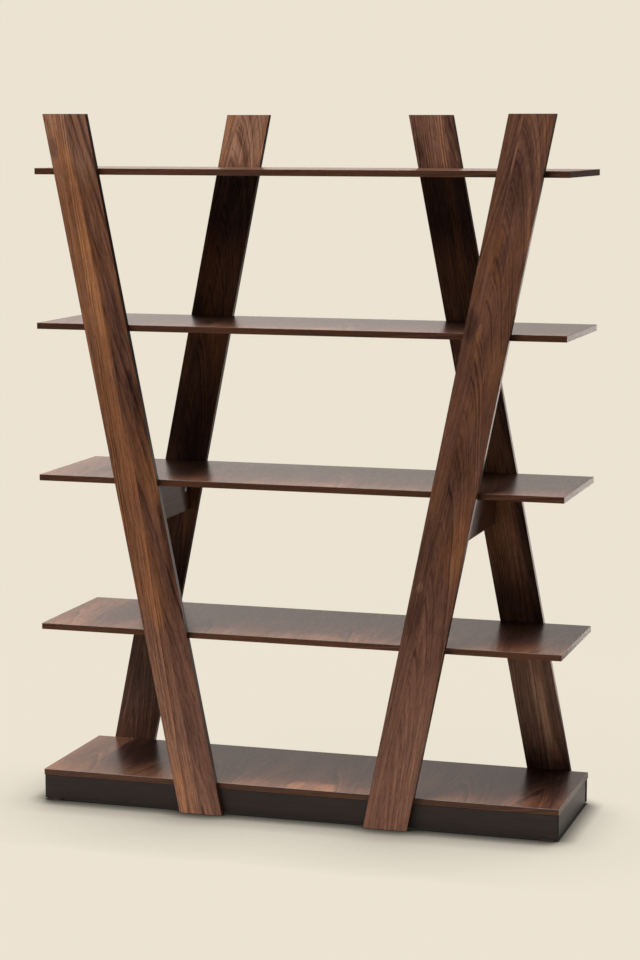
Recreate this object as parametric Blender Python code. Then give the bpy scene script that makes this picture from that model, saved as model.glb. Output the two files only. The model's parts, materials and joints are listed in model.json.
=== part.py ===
"""Five-level open bookshelf carried by four canted planks, in metres, +Z up, front towards -Y.

Two planks lean inwards in front of the shelves and two lean outwards behind them, so that they cross
when seen from the front. Each plank is held to each shelf edge by a cam lock and bolt beside a glued
dowel. Under the middle shelf a side stretcher ties the front plank to the rear one on either side.
The lowest panel lies on a plinth of four rails, which stands on plastic glides.
The origin is on the floor, below the middle of the object.
"""

import math

import bmesh
import bpy
from mathutils import Matrix, Vector

# Shelves and base panel.
SHELF_WIDTH = 1.390
SHELF_DEPTH = 0.390
SHELF_THICKNESS = 0.016
SHELF_SPACING = 0.395
SHELF_NAMES = ("base_panel", "shelf_lower", "shelf_middle", "shelf_upper", "shelf_top")

# Canted planks. The width is measured level, along the cut of the ends.
PLANK_WIDTH = 0.1168
PLANK_THICKNESS = 0.018
PLANK_RISE = 0.1362
PLANK_OUTER_INSET = 0.0904
PLANK_INNER_SPREAD = 0.4972

# Side stretchers under the middle shelf.
STRETCHER_HEIGHT = 0.1185
STRETCHER_THICKNESS = 0.016

# Plinth and glides.
RAIL_HEIGHT = 0.0622
RAIL_THICKNESS = 0.016
RAIL_END_OVERHANG = 0.002
SIDE_RAIL_INSET = 0.0012
GLIDE_LENGTH = 0.041
GLIDE_WIDTH = 0.0145
GLIDE_HEIGHT = 0.005
GLIDE_END_INSET = 0.006
GLIDE_CORNER = 0.003
GLIDE_FOOT_CHAMFER = 0.001
NAIL_HOLE_RADIUS = 0.002
NAIL_HOLE_DEPTH = 0.0022
NAIL_HOLE_SPREAD = 0.022

# Cam lock, turned in a cup bored from the hidden side of a board.
CAM_RADIUS = 0.0072
CAM_BEYOND_BOLT = 0.0042
CAM_POCKET_RADIUS = 0.005
CAM_SLOT_HEIGHT = 0.0046
CAM_SIDE_WALL_CUT = 0.0037
CAM_CROSS_LENGTH = 0.0076
CAM_CROSS_WIDTH = 0.0016
CAM_CROSS_DEPTH = 0.0022
CAM_EDGE_DISTANCE = 0.034
CAM_FROM_PLANK_EDGE = 0.0284

# Bolt that screws into the plank and is drawn in by the cam lock.
BOLT_THREAD_RADIUS = 0.0025
BOLT_THREAD_LENGTH = 0.011
BOLT_TIP_RADIUS = 0.0018
BOLT_COLLAR_RADIUS = 0.0035
BOLT_COLLAR_LENGTH = 0.0016
BOLT_SHANK_RADIUS = 0.0027
BOLT_NECK_RADIUS = 0.0018
BOLT_NECK_LENGTH = 0.0060
BOLT_HEAD_RADIUS = 0.0034
BOLT_HEAD_LENGTH = 0.0052
BOLT_HEAD_TIP_RADIUS = 0.0018
BOLT_BORE_RADIUS = 0.004

# Glued beech dowels, each fused to the board that it is glued into.
DOWEL_RADIUS = 0.004
DOWEL_STANDOUT = 0.011
DOWEL_ROOT = 0.006
DOWEL_FROM_PLANK_EDGE = 0.0284
STRETCHER_DOWEL_FROM_EDGE = 0.02425
STRETCHER_DOWEL_FROM_END = 0.105
RAIL_DOWEL_FROM_MIDDLE = 0.130
RAIL_DOWEL_FROM_END = 0.043
SIDE_RAIL_DOWEL_FROM_EDGE = 0.0151

# Screws that hold the planks to the plinth rails pass through these holes from inside.
SCREW_HOLE_RADIUS = 0.0024
SCREW_HEAD_RADIUS = 0.0042
SCREW_HEAD_DEPTH = 0.0026
SCREW_PILOT_RADIUS = 0.0016
SCREW_PILOT_DEPTH = 0.012
SCREW_FROM_PLANK_EDGE = 0.0284

# Fits and edges.
SEAT_GAP = 0.0003
BORE_CLEARANCE = 0.0003
ARRIS = 0.0006
OVERRUN = 0.002
WELD = 0.00001

# Numbers of sides on round pieces.
CAM_SIDES = 16
CAM_POCKET_SIDES = 10
BOLT_SIDES = 8
DOWEL_SIDES = 8

# Places worked out from the sizes above.
SIDES = {"left": -1, "right": 1}
ROWS = {"front": -1, "rear": 1}
BASE_TOP = GLIDE_HEIGHT + RAIL_HEIGHT + 2 * SEAT_GAP + SHELF_THICKNESS
LEVELS = {name: BASE_TOP + i * SHELF_SPACING for i, name in enumerate(SHELF_NAMES)}
PLANK_TOP = LEVELS["shelf_top"] + PLANK_RISE
PLANK_OUTER_X = SHELF_WIDTH / 2 - PLANK_OUTER_INSET
PLANK_INNER_X = PLANK_INNER_SPREAD / 2
PLANK_FACE_Y = SHELF_DEPTH / 2 + SEAT_GAP
CAM_SIDE_OFFSET = PLANK_WIDTH / 2 - CAM_FROM_PLANK_EDGE
DOWEL_SIDE_OFFSET = PLANK_WIDTH / 2 - DOWEL_FROM_PLANK_EDGE
SCREW_SIDE_OFFSET = PLANK_WIDTH / 2 - SCREW_FROM_PLANK_EDGE
STRETCHER_X = (PLANK_OUTER_X + PLANK_INNER_X) / 2
STRETCHER_TOP = LEVELS["shelf_middle"] - SHELF_THICKNESS - SEAT_GAP
STRETCHER_MID_Z = STRETCHER_TOP - STRETCHER_HEIGHT / 2
RAIL_BOTTOM = GLIDE_HEIGHT + SEAT_GAP
RAIL_MID_Z = RAIL_BOTTOM + RAIL_HEIGHT / 2
RAIL_LENGTH = SHELF_WIDTH - 2 * RAIL_END_OVERHANG
RAIL_Y = (SHELF_DEPTH - RAIL_THICKNESS) / 2
SIDE_RAIL_LENGTH = SHELF_DEPTH - 2 * RAIL_THICKNESS - 2 * SEAT_GAP
SIDE_RAIL_X = (RAIL_LENGTH - RAIL_THICKNESS) / 2 - SIDE_RAIL_INSET


def linear(hex_colour):
    """Linear RGBA of an sRGB hex colour."""
    channels = [int(hex_colour[i : i + 2], 16) / 255 for i in (1, 3, 5)]
    bent = [c / 12.92 if c <= 0.04045 else ((c + 0.055) / 1.055) ** 2.4 for c in channels]
    return (*bent, 1)


def finish(name, hex_colour, roughness, metallic=0):
    """Principled material of one plain colour."""
    material = bpy.data.materials.new(name)
    material.use_nodes = True
    shader = material.node_tree.nodes["Principled BSDF"]
    shader.inputs["Base Color"].default_value = linear(hex_colour)
    shader.inputs["Roughness"].default_value = roughness
    shader.inputs["Metallic"].default_value = metallic
    material.diffuse_color = linear(hex_colour)
    return material


def make_object(name, bm, material):
    """Object with the bmesh's shape and one material."""
    bmesh.ops.recalc_face_normals(bm, faces=bm.faces)
    mesh = bpy.data.meshes.new(name)
    bm.to_mesh(mesh)
    bm.free()
    return place_copy(name, mesh, material)


def place_copy(name, mesh, material, matrix=Matrix()):
    """Object on a mesh that it may share, placed by a matrix."""
    if not mesh.materials:
        mesh.materials.append(material)
    piece = bpy.data.objects.new(name, mesh)
    piece.location = matrix.to_translation()
    piece.rotation_euler = matrix.to_euler()
    bpy.context.scene.collection.objects.link(piece)
    return piece


def block(low, high):
    """Bmesh of a box between two corners."""
    bm = bmesh.new()
    size = Vector(high) - Vector(low)
    centre = (Vector(high) + Vector(low)) / 2
    bmesh.ops.create_cube(bm, size=1, matrix=Matrix.LocRotScale(centre, None, size))
    return bm


def soften(bm, width):
    """Small flat arris along every edge."""
    bmesh.ops.bevel(bm, geom=list(bm.edges), offset=width, segments=1, affect="EDGES")
    return bm


def turned(profile, sides):
    """Bmesh turned about Z from (radius, height) points; the first and last lie on the axis."""
    bm = bmesh.new()
    verts = [bm.verts.new((radius, 0, height)) for radius, height in profile]
    edges = [bm.edges.new(pair) for pair in zip(verts, verts[1:])]
    whole = 2 * math.pi
    bmesh.ops.spin(bm, geom=verts + edges, axis=(0, 0, 1), angle=whole, steps=sides, use_merge=True)
    bmesh.ops.remove_doubles(bm, verts=bm.verts, dist=WELD)
    bmesh.ops.recalc_face_normals(bm, faces=bm.faces)
    return bm


def rod(radius, start, end, sides):
    """Bmesh of a cylinder along Z."""
    return turned([(0, start), (radius, start), (radius, end), (0, end)], sides)


def aimed(point, along):
    """Matrix that stands a Z-axis solid on a point, pointing along a direction."""
    return Matrix.LocRotScale(Vector(point), Vector(along).to_track_quat("Z", "Y"), None)


def gather(shapes):
    """One mesh of several (bmesh, matrix) shapes."""
    whole = bmesh.new()
    for shape, matrix in shapes:
        bmesh.ops.transform(shape, matrix=matrix, verts=shape.verts)
        part = bpy.data.meshes.new("part")
        shape.to_mesh(part)
        shape.free()
        whole.from_mesh(part)
        bpy.data.meshes.remove(part)
    mesh = bpy.data.meshes.new("tool")
    whole.to_mesh(mesh)
    whole.free()
    return mesh


def combine(piece, shapes, operation):
    """Exact Boolean of a piece with several shapes, given in the piece's own space, applied at once."""
    tool = bpy.data.objects.new("tool", gather(shapes))
    bpy.context.scene.collection.objects.link(tool)
    tool.matrix_world = piece.matrix_basis
    step = piece.modifiers.new("combine", "BOOLEAN")
    step.operation = operation
    step.solver = "EXACT"
    step.object = tool
    graph = bpy.context.evaluated_depsgraph_get()
    result = bpy.data.meshes.new_from_object(piece.evaluated_get(graph), depsgraph=graph)
    piece.modifiers.remove(step)
    old_mesh, tool_mesh = piece.data, tool.data
    piece.data = result
    result.name = piece.name
    bpy.data.objects.remove(tool)
    bpy.data.meshes.remove(tool_mesh)
    bpy.data.meshes.remove(old_mesh)


def bore(radius, depth, sides):
    """Cutter for a blind bore that runs down into the material along +Z from its mouth."""
    return rod(radius, -OVERRUN, depth, sides)


def dowel():
    """Dowel standing out of a board along +Z, with its root inside the board."""
    return rod(DOWEL_RADIUS, -DOWEL_ROOT, DOWEL_STANDOUT + SEAT_GAP, DOWEL_SIDES)


def dowel_bore():
    """Bore that takes a dowel, a little deeper and wider than it."""
    return bore(DOWEL_RADIUS + BORE_CLEARANCE, DOWEL_STANDOUT + BORE_CLEARANCE, DOWEL_SIDES)


def plank_x(side, row, height):
    """Middle of a canted plank, left to right, at a height."""
    share = height / PLANK_TOP
    if row == "rear":
        share = 1 - share
    return SIDES[side] * (PLANK_INNER_X + share * (PLANK_OUTER_X - PLANK_INNER_X))


def outboard(side, distance):
    """A distance away from the middle of the object, as an X offset."""
    return SIDES[side] * distance


def shelf_middle_z(name):
    """Height of the middle of a shelf's thickness."""
    return LEVELS[name] - SHELF_THICKNESS / 2


def corners():
    """Each side and row in turn."""
    return [(side, row) for side in SIDES for row in ROWS]


def cam_cup(thickness):
    """Cutter for the cup of a cam lock in a board, along +Z from the board's surface."""
    return bore(CAM_RADIUS + BORE_CLEARANCE, cam_height(thickness) + BORE_CLEARANCE, CAM_SIDES)


def cam_height(thickness):
    """Height of a cam lock whose bolt runs in the middle of a board."""
    return thickness / 2 + CAM_BEYOND_BOLT


def build_shelf(name, material):
    """Board with dowels in its edges, cups for the cam locks below and bores for their bolts."""
    half = Vector((SHELF_WIDTH / 2, SHELF_DEPTH / 2, SHELF_THICKNESS / 2))
    shelf = make_object(name, soften(block(-half, half), ARRIS), material)
    shelf.location.z = shelf_middle_z(name)
    if name == SHELF_NAMES[0]:
        return shelf
    cups, bores, dowels = [], [], []
    for side, row in corners():
        middle = plank_x(side, row, shelf.location.z)
        bolt_x = middle - outboard(side, CAM_SIDE_OFFSET)
        dowel_x = middle + outboard(side, DOWEL_SIDE_OFFSET)
        edge_y = ROWS[row] * half.y
        cup_y = ROWS[row] * (half.y - CAM_EDGE_DISTANCE)
        inward = (0, -ROWS[row], 0)
        cups.append((cam_cup(SHELF_THICKNESS), aimed((bolt_x, cup_y, -half.z), (0, 0, 1))))
        bolt_bore = bore(BOLT_BORE_RADIUS, CAM_EDGE_DISTANCE, BOLT_SIDES)
        bores.append((bolt_bore, aimed((bolt_x, edge_y, 0), inward)))
        dowels.append((dowel(), aimed((dowel_x, edge_y, 0), (0, ROWS[row], 0))))
    combine(shelf, cups, "DIFFERENCE")
    combine(shelf, bores, "DIFFERENCE")
    combine(shelf, dowels, "UNION")
    return shelf


def drill_for_stretchers(shelf):
    """Bores in the middle shelf's underside for the dowels on top of the side stretchers."""
    underside = -SHELF_THICKNESS / 2
    places = [(side * STRETCHER_X, y) for side in SIDES.values() for y in stretcher_top_dowels()]
    combine(shelf, [(dowel_bore(), aimed((x, y, underside), (0, 0, 1))) for x, y in places], "DIFFERENCE")


def drill_for_plinth(panel):
    """Bores in the base panel's underside for the dowels on top of the plinth rails."""
    underside = -SHELF_THICKNESS / 2
    places = [(x, row * RAIL_Y) for x in rail_top_dowels() for row in ROWS.values()]
    combine(panel, [(dowel_bore(), aimed((x, y, underside), (0, 0, 1))) for x, y in places], "DIFFERENCE")


def stretcher_top_dowels():
    """Places along Y of the dowels on top of a side stretcher."""
    return [row * (SHELF_DEPTH / 2 - STRETCHER_DOWEL_FROM_END) for row in ROWS.values()]


def rail_top_dowels():
    """Places along X of the dowels on top of a long plinth rail."""
    places = (RAIL_DOWEL_FROM_MIDDLE, RAIL_LENGTH / 2 - RAIL_DOWEL_FROM_END)
    return [side * x for side in SIDES.values() for x in places]


def build_plank(side, row, material):
    """Canted plank with level ends, drilled on the face that meets the shelves."""
    bm = bmesh.new()
    half_width, half_thickness = PLANK_WIDTH / 2, PLANK_THICKNESS / 2
    low_x, high_x = plank_x(side, row, 0), plank_x(side, row, PLANK_TOP)
    outline = [(low_x, -half_width, 0), (low_x, half_width, 0)]
    outline += [(high_x, half_width, PLANK_TOP), (high_x, -half_width, PLANK_TOP)]
    front = bm.faces.new([bm.verts.new((x + dx, -half_thickness, z)) for x, dx, z in outline])
    grown = bmesh.ops.extrude_face_region(bm, geom=[front])
    moved = [item for item in grown["geom"] if isinstance(item, bmesh.types.BMVert)]
    bmesh.ops.translate(bm, vec=(0, PLANK_THICKNESS, 0), verts=moved)
    bmesh.ops.recalc_face_normals(bm, faces=bm.faces)
    plank = make_object(f"{row}_plank_{side}", soften(bm, ARRIS), material)
    plank.location.y = ROWS[row] * (PLANK_FACE_Y + half_thickness)
    combine(plank, plank_bores(side, row), "DIFFERENCE")
    return plank


def plank_bores(side, row):
    """Cutters for a plank's bolt, dowel and screw bores, on the face towards the shelves."""
    face_y = -ROWS[row] * PLANK_THICKNESS / 2
    into = (0, ROWS[row], 0)
    thread = BOLT_THREAD_RADIUS + BORE_CLEARANCE
    thread_depth = BOLT_THREAD_LENGTH + BORE_CLEARANCE
    places = []
    for name in SHELF_NAMES[1:]:
        z = shelf_middle_z(name)
        middle = plank_x(side, row, z)
        places.append((bore(thread, thread_depth, BOLT_SIDES), middle - outboard(side, CAM_SIDE_OFFSET), z))
        places.append((dowel_bore(), middle + outboard(side, DOWEL_SIDE_OFFSET), z))
    stretcher_x = outboard(side, STRETCHER_X)
    places.append((bore(thread, thread_depth, BOLT_SIDES), stretcher_x, STRETCHER_MID_Z))
    for z in stretcher_end_dowels():
        places.append((dowel_bore(), stretcher_x, z))
    for x in screw_places(side, row):
        places.append((bore(SCREW_PILOT_RADIUS, SCREW_PILOT_DEPTH, BOLT_SIDES), x, RAIL_MID_Z))
    return [(cutter, aimed((x, face_y, z), into)) for cutter, x, z in places]


def stretcher_end_dowels():
    """Heights of the dowels in a stretcher's ends, above and below its bolt."""
    reach = STRETCHER_HEIGHT / 2 - STRETCHER_DOWEL_FROM_EDGE
    return [STRETCHER_MID_Z + step * reach for step in (-1, 1)]


def screw_places(side, row):
    """Places along X of the two screws that hold a plank to a plinth rail."""
    middle = plank_x(side, row, RAIL_MID_Z)
    return [middle + step * SCREW_SIDE_OFFSET for step in (-1, 1)]


def build_stretcher(side, material):
    """Upright board between the front and rear planks, with cam cups on its inner face."""
    half = Vector((STRETCHER_THICKNESS / 2, SHELF_DEPTH / 2, STRETCHER_HEIGHT / 2))
    name = f"side_stretcher_{side}"
    stretcher = make_object(name, soften(block(-half, half), ARRIS), material)
    stretcher.location = (outboard(side, STRETCHER_X), 0, STRETCHER_MID_Z)
    cups, bores, dowels = [], [], []
    for row in ROWS.values():
        cup_y = row * (half.y - CAM_EDGE_DISTANCE)
        cup_place = (-outboard(side, half.x), cup_y, 0)
        cups.append((cam_cup(STRETCHER_THICKNESS), aimed(cup_place, (SIDES[side], 0, 0))))
        bolt_bore = bore(BOLT_BORE_RADIUS, CAM_EDGE_DISTANCE, BOLT_SIDES)
        bores.append((bolt_bore, aimed((0, row * half.y, 0), (0, -row, 0))))
        for z in stretcher_end_dowels():
            dowels.append((dowel(), aimed((0, row * half.y, z - STRETCHER_MID_Z), (0, row, 0))))
    for y in stretcher_top_dowels():
        dowels.append((dowel(), aimed((0, y, half.z), (0, 0, 1))))
    combine(stretcher, cups, "DIFFERENCE")
    combine(stretcher, bores, "DIFFERENCE")
    combine(stretcher, dowels, "UNION")
    return stretcher


def screw_hole():
    """Cutter for a countersunk hole right through a rail, along +Z from its inner face."""
    sink = SCREW_HEAD_RADIUS + OVERRUN
    through = RAIL_THICKNESS + OVERRUN
    profile = [(0, -OVERRUN), (sink, -OVERRUN), (SCREW_HOLE_RADIUS, SCREW_HEAD_DEPTH)]
    profile += [(SCREW_HOLE_RADIUS, through), (0, through)]
    return turned(profile, BOLT_SIDES)


def build_long_rail(row, material):
    """Front or rear plinth rail, screwed to its planks, with dowels up into the base panel."""
    half = Vector((RAIL_LENGTH / 2, RAIL_THICKNESS / 2, RAIL_HEIGHT / 2))
    rail = make_object(f"plinth_{row}_rail", soften(block(-half, half), ARRIS), material)
    rail.location = (0, ROWS[row] * RAIL_Y, RAIL_MID_Z)
    inner_y = -ROWS[row] * half.y
    outward = (0, ROWS[row], 0)
    cuts = []
    for side in SIDES:
        for x in screw_places(side, row):
            cuts.append((screw_hole(), aimed((x, inner_y, 0), outward)))
        for z in side_rail_dowels():
            cuts.append((dowel_bore(), aimed((outboard(side, SIDE_RAIL_X), inner_y, z), outward)))
    combine(rail, cuts, "DIFFERENCE")
    combine(rail, [(dowel(), aimed((x, 0, half.z), (0, 0, 1))) for x in rail_top_dowels()], "UNION")
    return rail


def side_rail_dowels():
    """Heights of the dowels in a side rail's ends, from the middle of the rail."""
    return [step * (RAIL_HEIGHT / 2 - SIDE_RAIL_DOWEL_FROM_EDGE) for step in (-1, 1)]


def build_side_rail(side, material):
    """Short plinth rail between the long ones, with dowels in its ends."""
    half = Vector((RAIL_THICKNESS / 2, SIDE_RAIL_LENGTH / 2, RAIL_HEIGHT / 2))
    rail = make_object(f"plinth_{side}_rail", soften(block(-half, half), ARRIS), material)
    rail.location = (outboard(side, SIDE_RAIL_X), 0, RAIL_MID_Z)
    ends = [(row, z) for row in ROWS.values() for z in side_rail_dowels()]
    dowels = [(dowel(), aimed((0, row * half.y, z), (0, row, 0))) for row, z in ends]
    combine(rail, dowels, "UNION")
    return rail


def build_glide(side, row, material):
    """Plastic pad under the end of a long rail, with two nail holes below."""
    half = Vector((GLIDE_LENGTH / 2, GLIDE_WIDTH / 2, GLIDE_HEIGHT / 2))
    bm = block(-half, half)
    upright = [edge for edge in bm.edges if abs(edge.verts[0].co.z - edge.verts[1].co.z) > half.z]
    bmesh.ops.bevel(bm, geom=upright, offset=GLIDE_CORNER, segments=2, affect="EDGES")
    foot = [edge for edge in bm.edges if all(vert.co.z < 0 for vert in edge.verts)]
    bmesh.ops.bevel(bm, geom=foot, offset=GLIDE_FOOT_CHAMFER, segments=1, affect="EDGES")
    glide = make_object(f"glide_{row}_{side}", bm, material)
    centre_x = RAIL_LENGTH / 2 - GLIDE_END_INSET - half.x
    glide.location = (outboard(side, centre_x), ROWS[row] * RAIL_Y, half.z)
    nail = (NAIL_HOLE_RADIUS, NAIL_HOLE_DEPTH, BOLT_SIDES)
    places = [(step * NAIL_HOLE_SPREAD / 2, 0, -half.z) for step in (-1, 1)]
    combine(glide, [(bore(*nail), aimed(place, (0, 0, 1))) for place in places], "DIFFERENCE")
    return glide


def cam_lock_mesh(name, thickness, material):
    """Cam lock about Z with its slotted face up at zero and its closed jaw towards -Y."""
    height = cam_height(thickness)
    cam = make_object(name, rod(CAM_RADIUS, -height, 0, CAM_SIDES), material)
    roof = thickness / 2 - BOLT_HEAD_RADIUS - 2 * BORE_CLEARANCE
    pocket = rod(CAM_POCKET_RADIUS, -height - OVERRUN, -roof, CAM_POCKET_SIDES)
    combine(cam, [(pocket, Matrix())], "DIFFERENCE")
    reach = CAM_RADIUS + OVERRUN
    mouth = block((0, -CAM_SIDE_WALL_CUT, -height - OVERRUN), (reach, CAM_SIDE_WALL_CUT, -roof))
    combine(cam, [(mouth, Matrix())], "DIFFERENCE")
    slot_low, slot_high = (-thickness / 2 + step * CAM_SLOT_HEIGHT / 2 for step in (-1, 1))
    half_slot = CAM_SLOT_HEIGHT / 2
    jaw = block((-half_slot, -reach, slot_low), (reach, CAM_SIDE_WALL_CUT, slot_high))
    combine(cam, [(jaw, Matrix())], "DIFFERENCE")
    long_half, wide_half = CAM_CROSS_LENGTH / 2, CAM_CROSS_WIDTH / 2
    for x, y in ((long_half, wide_half), (wide_half, long_half)):
        arm = block((-x, -y, -CAM_CROSS_DEPTH), (x, y, OVERRUN))
        combine(cam, [(arm, Matrix())], "DIFFERENCE")
    return lift_mesh(cam)


def cam_bolt_mesh(name, material):
    """Bolt about Z: thread below zero in the plank, then collar, shank, neck and head."""
    centre = SEAT_GAP + CAM_EDGE_DISTANCE
    head_start, head_end = centre - BOLT_HEAD_LENGTH / 2, centre + BOLT_HEAD_LENGTH / 2
    neck_start = head_start - BOLT_NECK_LENGTH
    collar_end = SEAT_GAP + BOLT_COLLAR_LENGTH
    profile = [
        (0, -BOLT_THREAD_LENGTH),
        (BOLT_TIP_RADIUS, -BOLT_THREAD_LENGTH),
        (BOLT_THREAD_RADIUS, BOLT_THREAD_RADIUS - BOLT_THREAD_LENGTH),
        (BOLT_THREAD_RADIUS, SEAT_GAP),
        (BOLT_COLLAR_RADIUS, SEAT_GAP),
        (BOLT_COLLAR_RADIUS, collar_end),
        (BOLT_SHANK_RADIUS, collar_end),
        (BOLT_SHANK_RADIUS, neck_start),
        (BOLT_NECK_RADIUS, neck_start),
        (BOLT_NECK_RADIUS, head_start),
        (BOLT_HEAD_RADIUS, centre),
        (BOLT_HEAD_TIP_RADIUS, head_end),
        (0, head_end),
    ]
    return lift_mesh(make_object(name, turned(profile, BOLT_SIDES), material))


def lift_mesh(piece):
    """The mesh of a pattern piece, whose object is removed so that copies can share the mesh."""
    mesh = piece.data
    mesh.use_fake_user = True
    bpy.data.objects.remove(piece)
    return mesh


def facing(point, face_direction, edge_direction):
    """Matrix for a cam lock whose slotted face and closed jaw point along two directions."""
    z_axis = Vector(face_direction)
    y_axis = -Vector(edge_direction)
    x_axis = y_axis.cross(z_axis)
    turn = Matrix((x_axis, y_axis, z_axis)).transposed()
    return Matrix.LocRotScale(Vector(point), turn, None)


def place_shelf_fittings(meshes, materials):
    """A cam lock and its bolt where each plank crosses each shelf above the base."""
    for name in SHELF_NAMES[1:]:
        level = name.removeprefix("shelf_")
        z = shelf_middle_z(name)
        for side, row in corners():
            x = plank_x(side, row, z) - outboard(side, CAM_SIDE_OFFSET)
            cup_y = ROWS[row] * (SHELF_DEPTH / 2 - CAM_EDGE_DISTANCE)
            where = f"{level}_{row}_{side}"
            cup = facing((x, cup_y, z - SHELF_THICKNESS / 2), (0, 0, -1), (0, ROWS[row], 0))
            place_copy(f"cam_lock_{where}", meshes["shelf_cam"], materials["cam"], cup)
            seat = aimed((x, ROWS[row] * PLANK_FACE_Y, z), (0, -ROWS[row], 0))
            place_copy(f"cam_bolt_{where}", meshes["bolt"], materials["bolt"], seat)


def place_stretcher_fittings(meshes, materials):
    """A cam lock and its bolt at each end of each side stretcher."""
    for side, row in corners():
        x = outboard(side, STRETCHER_X)
        face_x = x - outboard(side, STRETCHER_THICKNESS / 2)
        cup_y = ROWS[row] * (SHELF_DEPTH / 2 - CAM_EDGE_DISTANCE)
        where = f"stretcher_{row}_{side}"
        cup = facing((face_x, cup_y, STRETCHER_MID_Z), (-SIDES[side], 0, 0), (0, ROWS[row], 0))
        place_copy(f"cam_lock_{where}", meshes["stretcher_cam"], materials["cam"], cup)
        seat = aimed((x, ROWS[row] * PLANK_FACE_Y, STRETCHER_MID_Z), (0, -ROWS[row], 0))
        place_copy(f"cam_bolt_{where}", meshes["bolt"], materials["bolt"], seat)


def main():
    """Builds every piece of the bookshelf in a cleared scene."""
    for old in list(bpy.data.objects):
        bpy.data.objects.remove(old)
    materials = {
        "shelf": finish("walnut_shelf_board", "#6f5446", 0.36),
        "plank": finish("walnut_plank", "#6e4936", 0.42),
        "stretcher": finish("walnut_stretcher", "#6b5143", 0.38),
        "plinth": finish("dark_brown_plinth", "#332823", 0.45),
        "glide": finish("dark_brown_plastic_glide", "#2b211b", 0.5),
        "cam": finish("zinc_die_cast_cam_lock", "#b9b9b8", 0.35, 1),
        "bolt": finish("zinc_plated_steel_bolt", "#c2c1bc", 0.3, 1),
    }
    shelves = {name: build_shelf(name, materials["shelf"]) for name in SHELF_NAMES}
    drill_for_stretchers(shelves["shelf_middle"])
    drill_for_plinth(shelves["base_panel"])
    for side, row in corners():
        build_plank(side, row, materials["plank"])
        build_glide(side, row, materials["glide"])
    for side in SIDES:
        build_stretcher(side, materials["stretcher"])
        build_side_rail(side, materials["plinth"])
    for row in ROWS:
        build_long_rail(row, materials["plinth"])
    meshes = {
        "shelf_cam": cam_lock_mesh("shelf_cam_lock", SHELF_THICKNESS, materials["cam"]),
        "stretcher_cam": cam_lock_mesh("stretcher_cam_lock", STRETCHER_THICKNESS, materials["cam"]),
        "bolt": cam_bolt_mesh("cam_bolt", materials["bolt"]),
    }
    place_shelf_fittings(meshes, materials)
    place_stretcher_fittings(meshes, materials)


main()
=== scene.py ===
"""Finishes, fasteners, studio and camera of the five-level open bookshelf of walnut boards.

Every board, cam lock and bolt keeps its CAD solid and gets a finish that nodes draw in object space.
The screws of the plinth and the nails of its glides are made here with Geometry Nodes.
Lengths are in metres, +Z is up and the front faces -Y.
"""

import json
import logging
import math
from collections.abc import Iterable, Mapping, Sequence
from dataclasses import dataclass, field, replace
from enum import Enum
from typing import Any

import bpy
from mathutils import Matrix, Vector

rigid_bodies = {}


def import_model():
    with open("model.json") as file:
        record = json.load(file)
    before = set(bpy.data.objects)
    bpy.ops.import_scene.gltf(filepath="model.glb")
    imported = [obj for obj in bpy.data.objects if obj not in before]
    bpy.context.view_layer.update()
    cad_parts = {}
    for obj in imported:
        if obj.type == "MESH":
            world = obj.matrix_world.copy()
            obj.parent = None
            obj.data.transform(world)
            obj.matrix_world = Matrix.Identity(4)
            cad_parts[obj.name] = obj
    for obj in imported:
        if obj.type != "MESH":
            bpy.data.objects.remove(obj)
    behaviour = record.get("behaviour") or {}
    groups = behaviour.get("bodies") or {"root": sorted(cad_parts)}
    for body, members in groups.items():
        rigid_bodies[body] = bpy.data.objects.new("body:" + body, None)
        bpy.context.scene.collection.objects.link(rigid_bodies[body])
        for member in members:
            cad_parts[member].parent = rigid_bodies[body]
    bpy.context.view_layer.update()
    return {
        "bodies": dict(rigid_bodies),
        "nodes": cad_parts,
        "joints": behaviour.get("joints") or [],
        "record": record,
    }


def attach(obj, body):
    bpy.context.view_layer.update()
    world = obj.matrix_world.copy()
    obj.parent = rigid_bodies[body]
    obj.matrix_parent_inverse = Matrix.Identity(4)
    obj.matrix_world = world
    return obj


LOG = logging.getLogger("bookshelf")
IMAGE_HEIGHT = 960
MILLIMETRE = 0.001

# Sizes that the source of the solids gives as well.
SHELF_WIDTH, SHELF_DEPTH, BOARD_THICKNESS = 1.390, 0.390, 0.016
SHELF_LEVELS = {
    "base_panel": 0.0838,
    "shelf_lower": 0.4788,
    "shelf_middle": 0.8738,
    "shelf_upper": 1.2688,
    "shelf_top": 1.6638,
}
HEIGHT = 1.800
PLANK_WIDTH, PLANK_THICKNESS = 0.1168, 0.018
PLANK_INNER_X, PLANK_OUTER_X = 0.2486, 0.6046
PLANK_FACE_Y = 0.1953
STRETCHER_X, STRETCHER_MID_Z, STRETCHER_HEIGHT = 0.4266, 0.79825, 0.1185
RAIL_MID_Z, RAIL_HEIGHT, RAIL_INNER_Y, RAIL_Y = 0.0364, 0.0622, 0.179, 0.187

# How far from a board's surface its points count as foil, as ironed-on strip and as dowel, and how far the
# strips' place in the decor is shifted from the face's.
FOIL_DEPTH, STRIP_DEPTH, DOWEL_START = 0.8 * MILLIMETRE, 0.65 * MILLIMETRE, 0.25 * MILLIMETRE
STRIP_SHIFT = 0.031

# Tone and warmth of plain walnut, the share of its figure that the strips show, how deep pores are, and a
# slope so steep that it turns a depth into a switch.
WALNUT_TONE, WALNUT_WARMTH, STRIP_CONTRAST = 0.36, 0.42, 0.4
PORE_DEPTH, SWITCH_SLOPE = 0.1 * MILLIMETRE, 1e4

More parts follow.
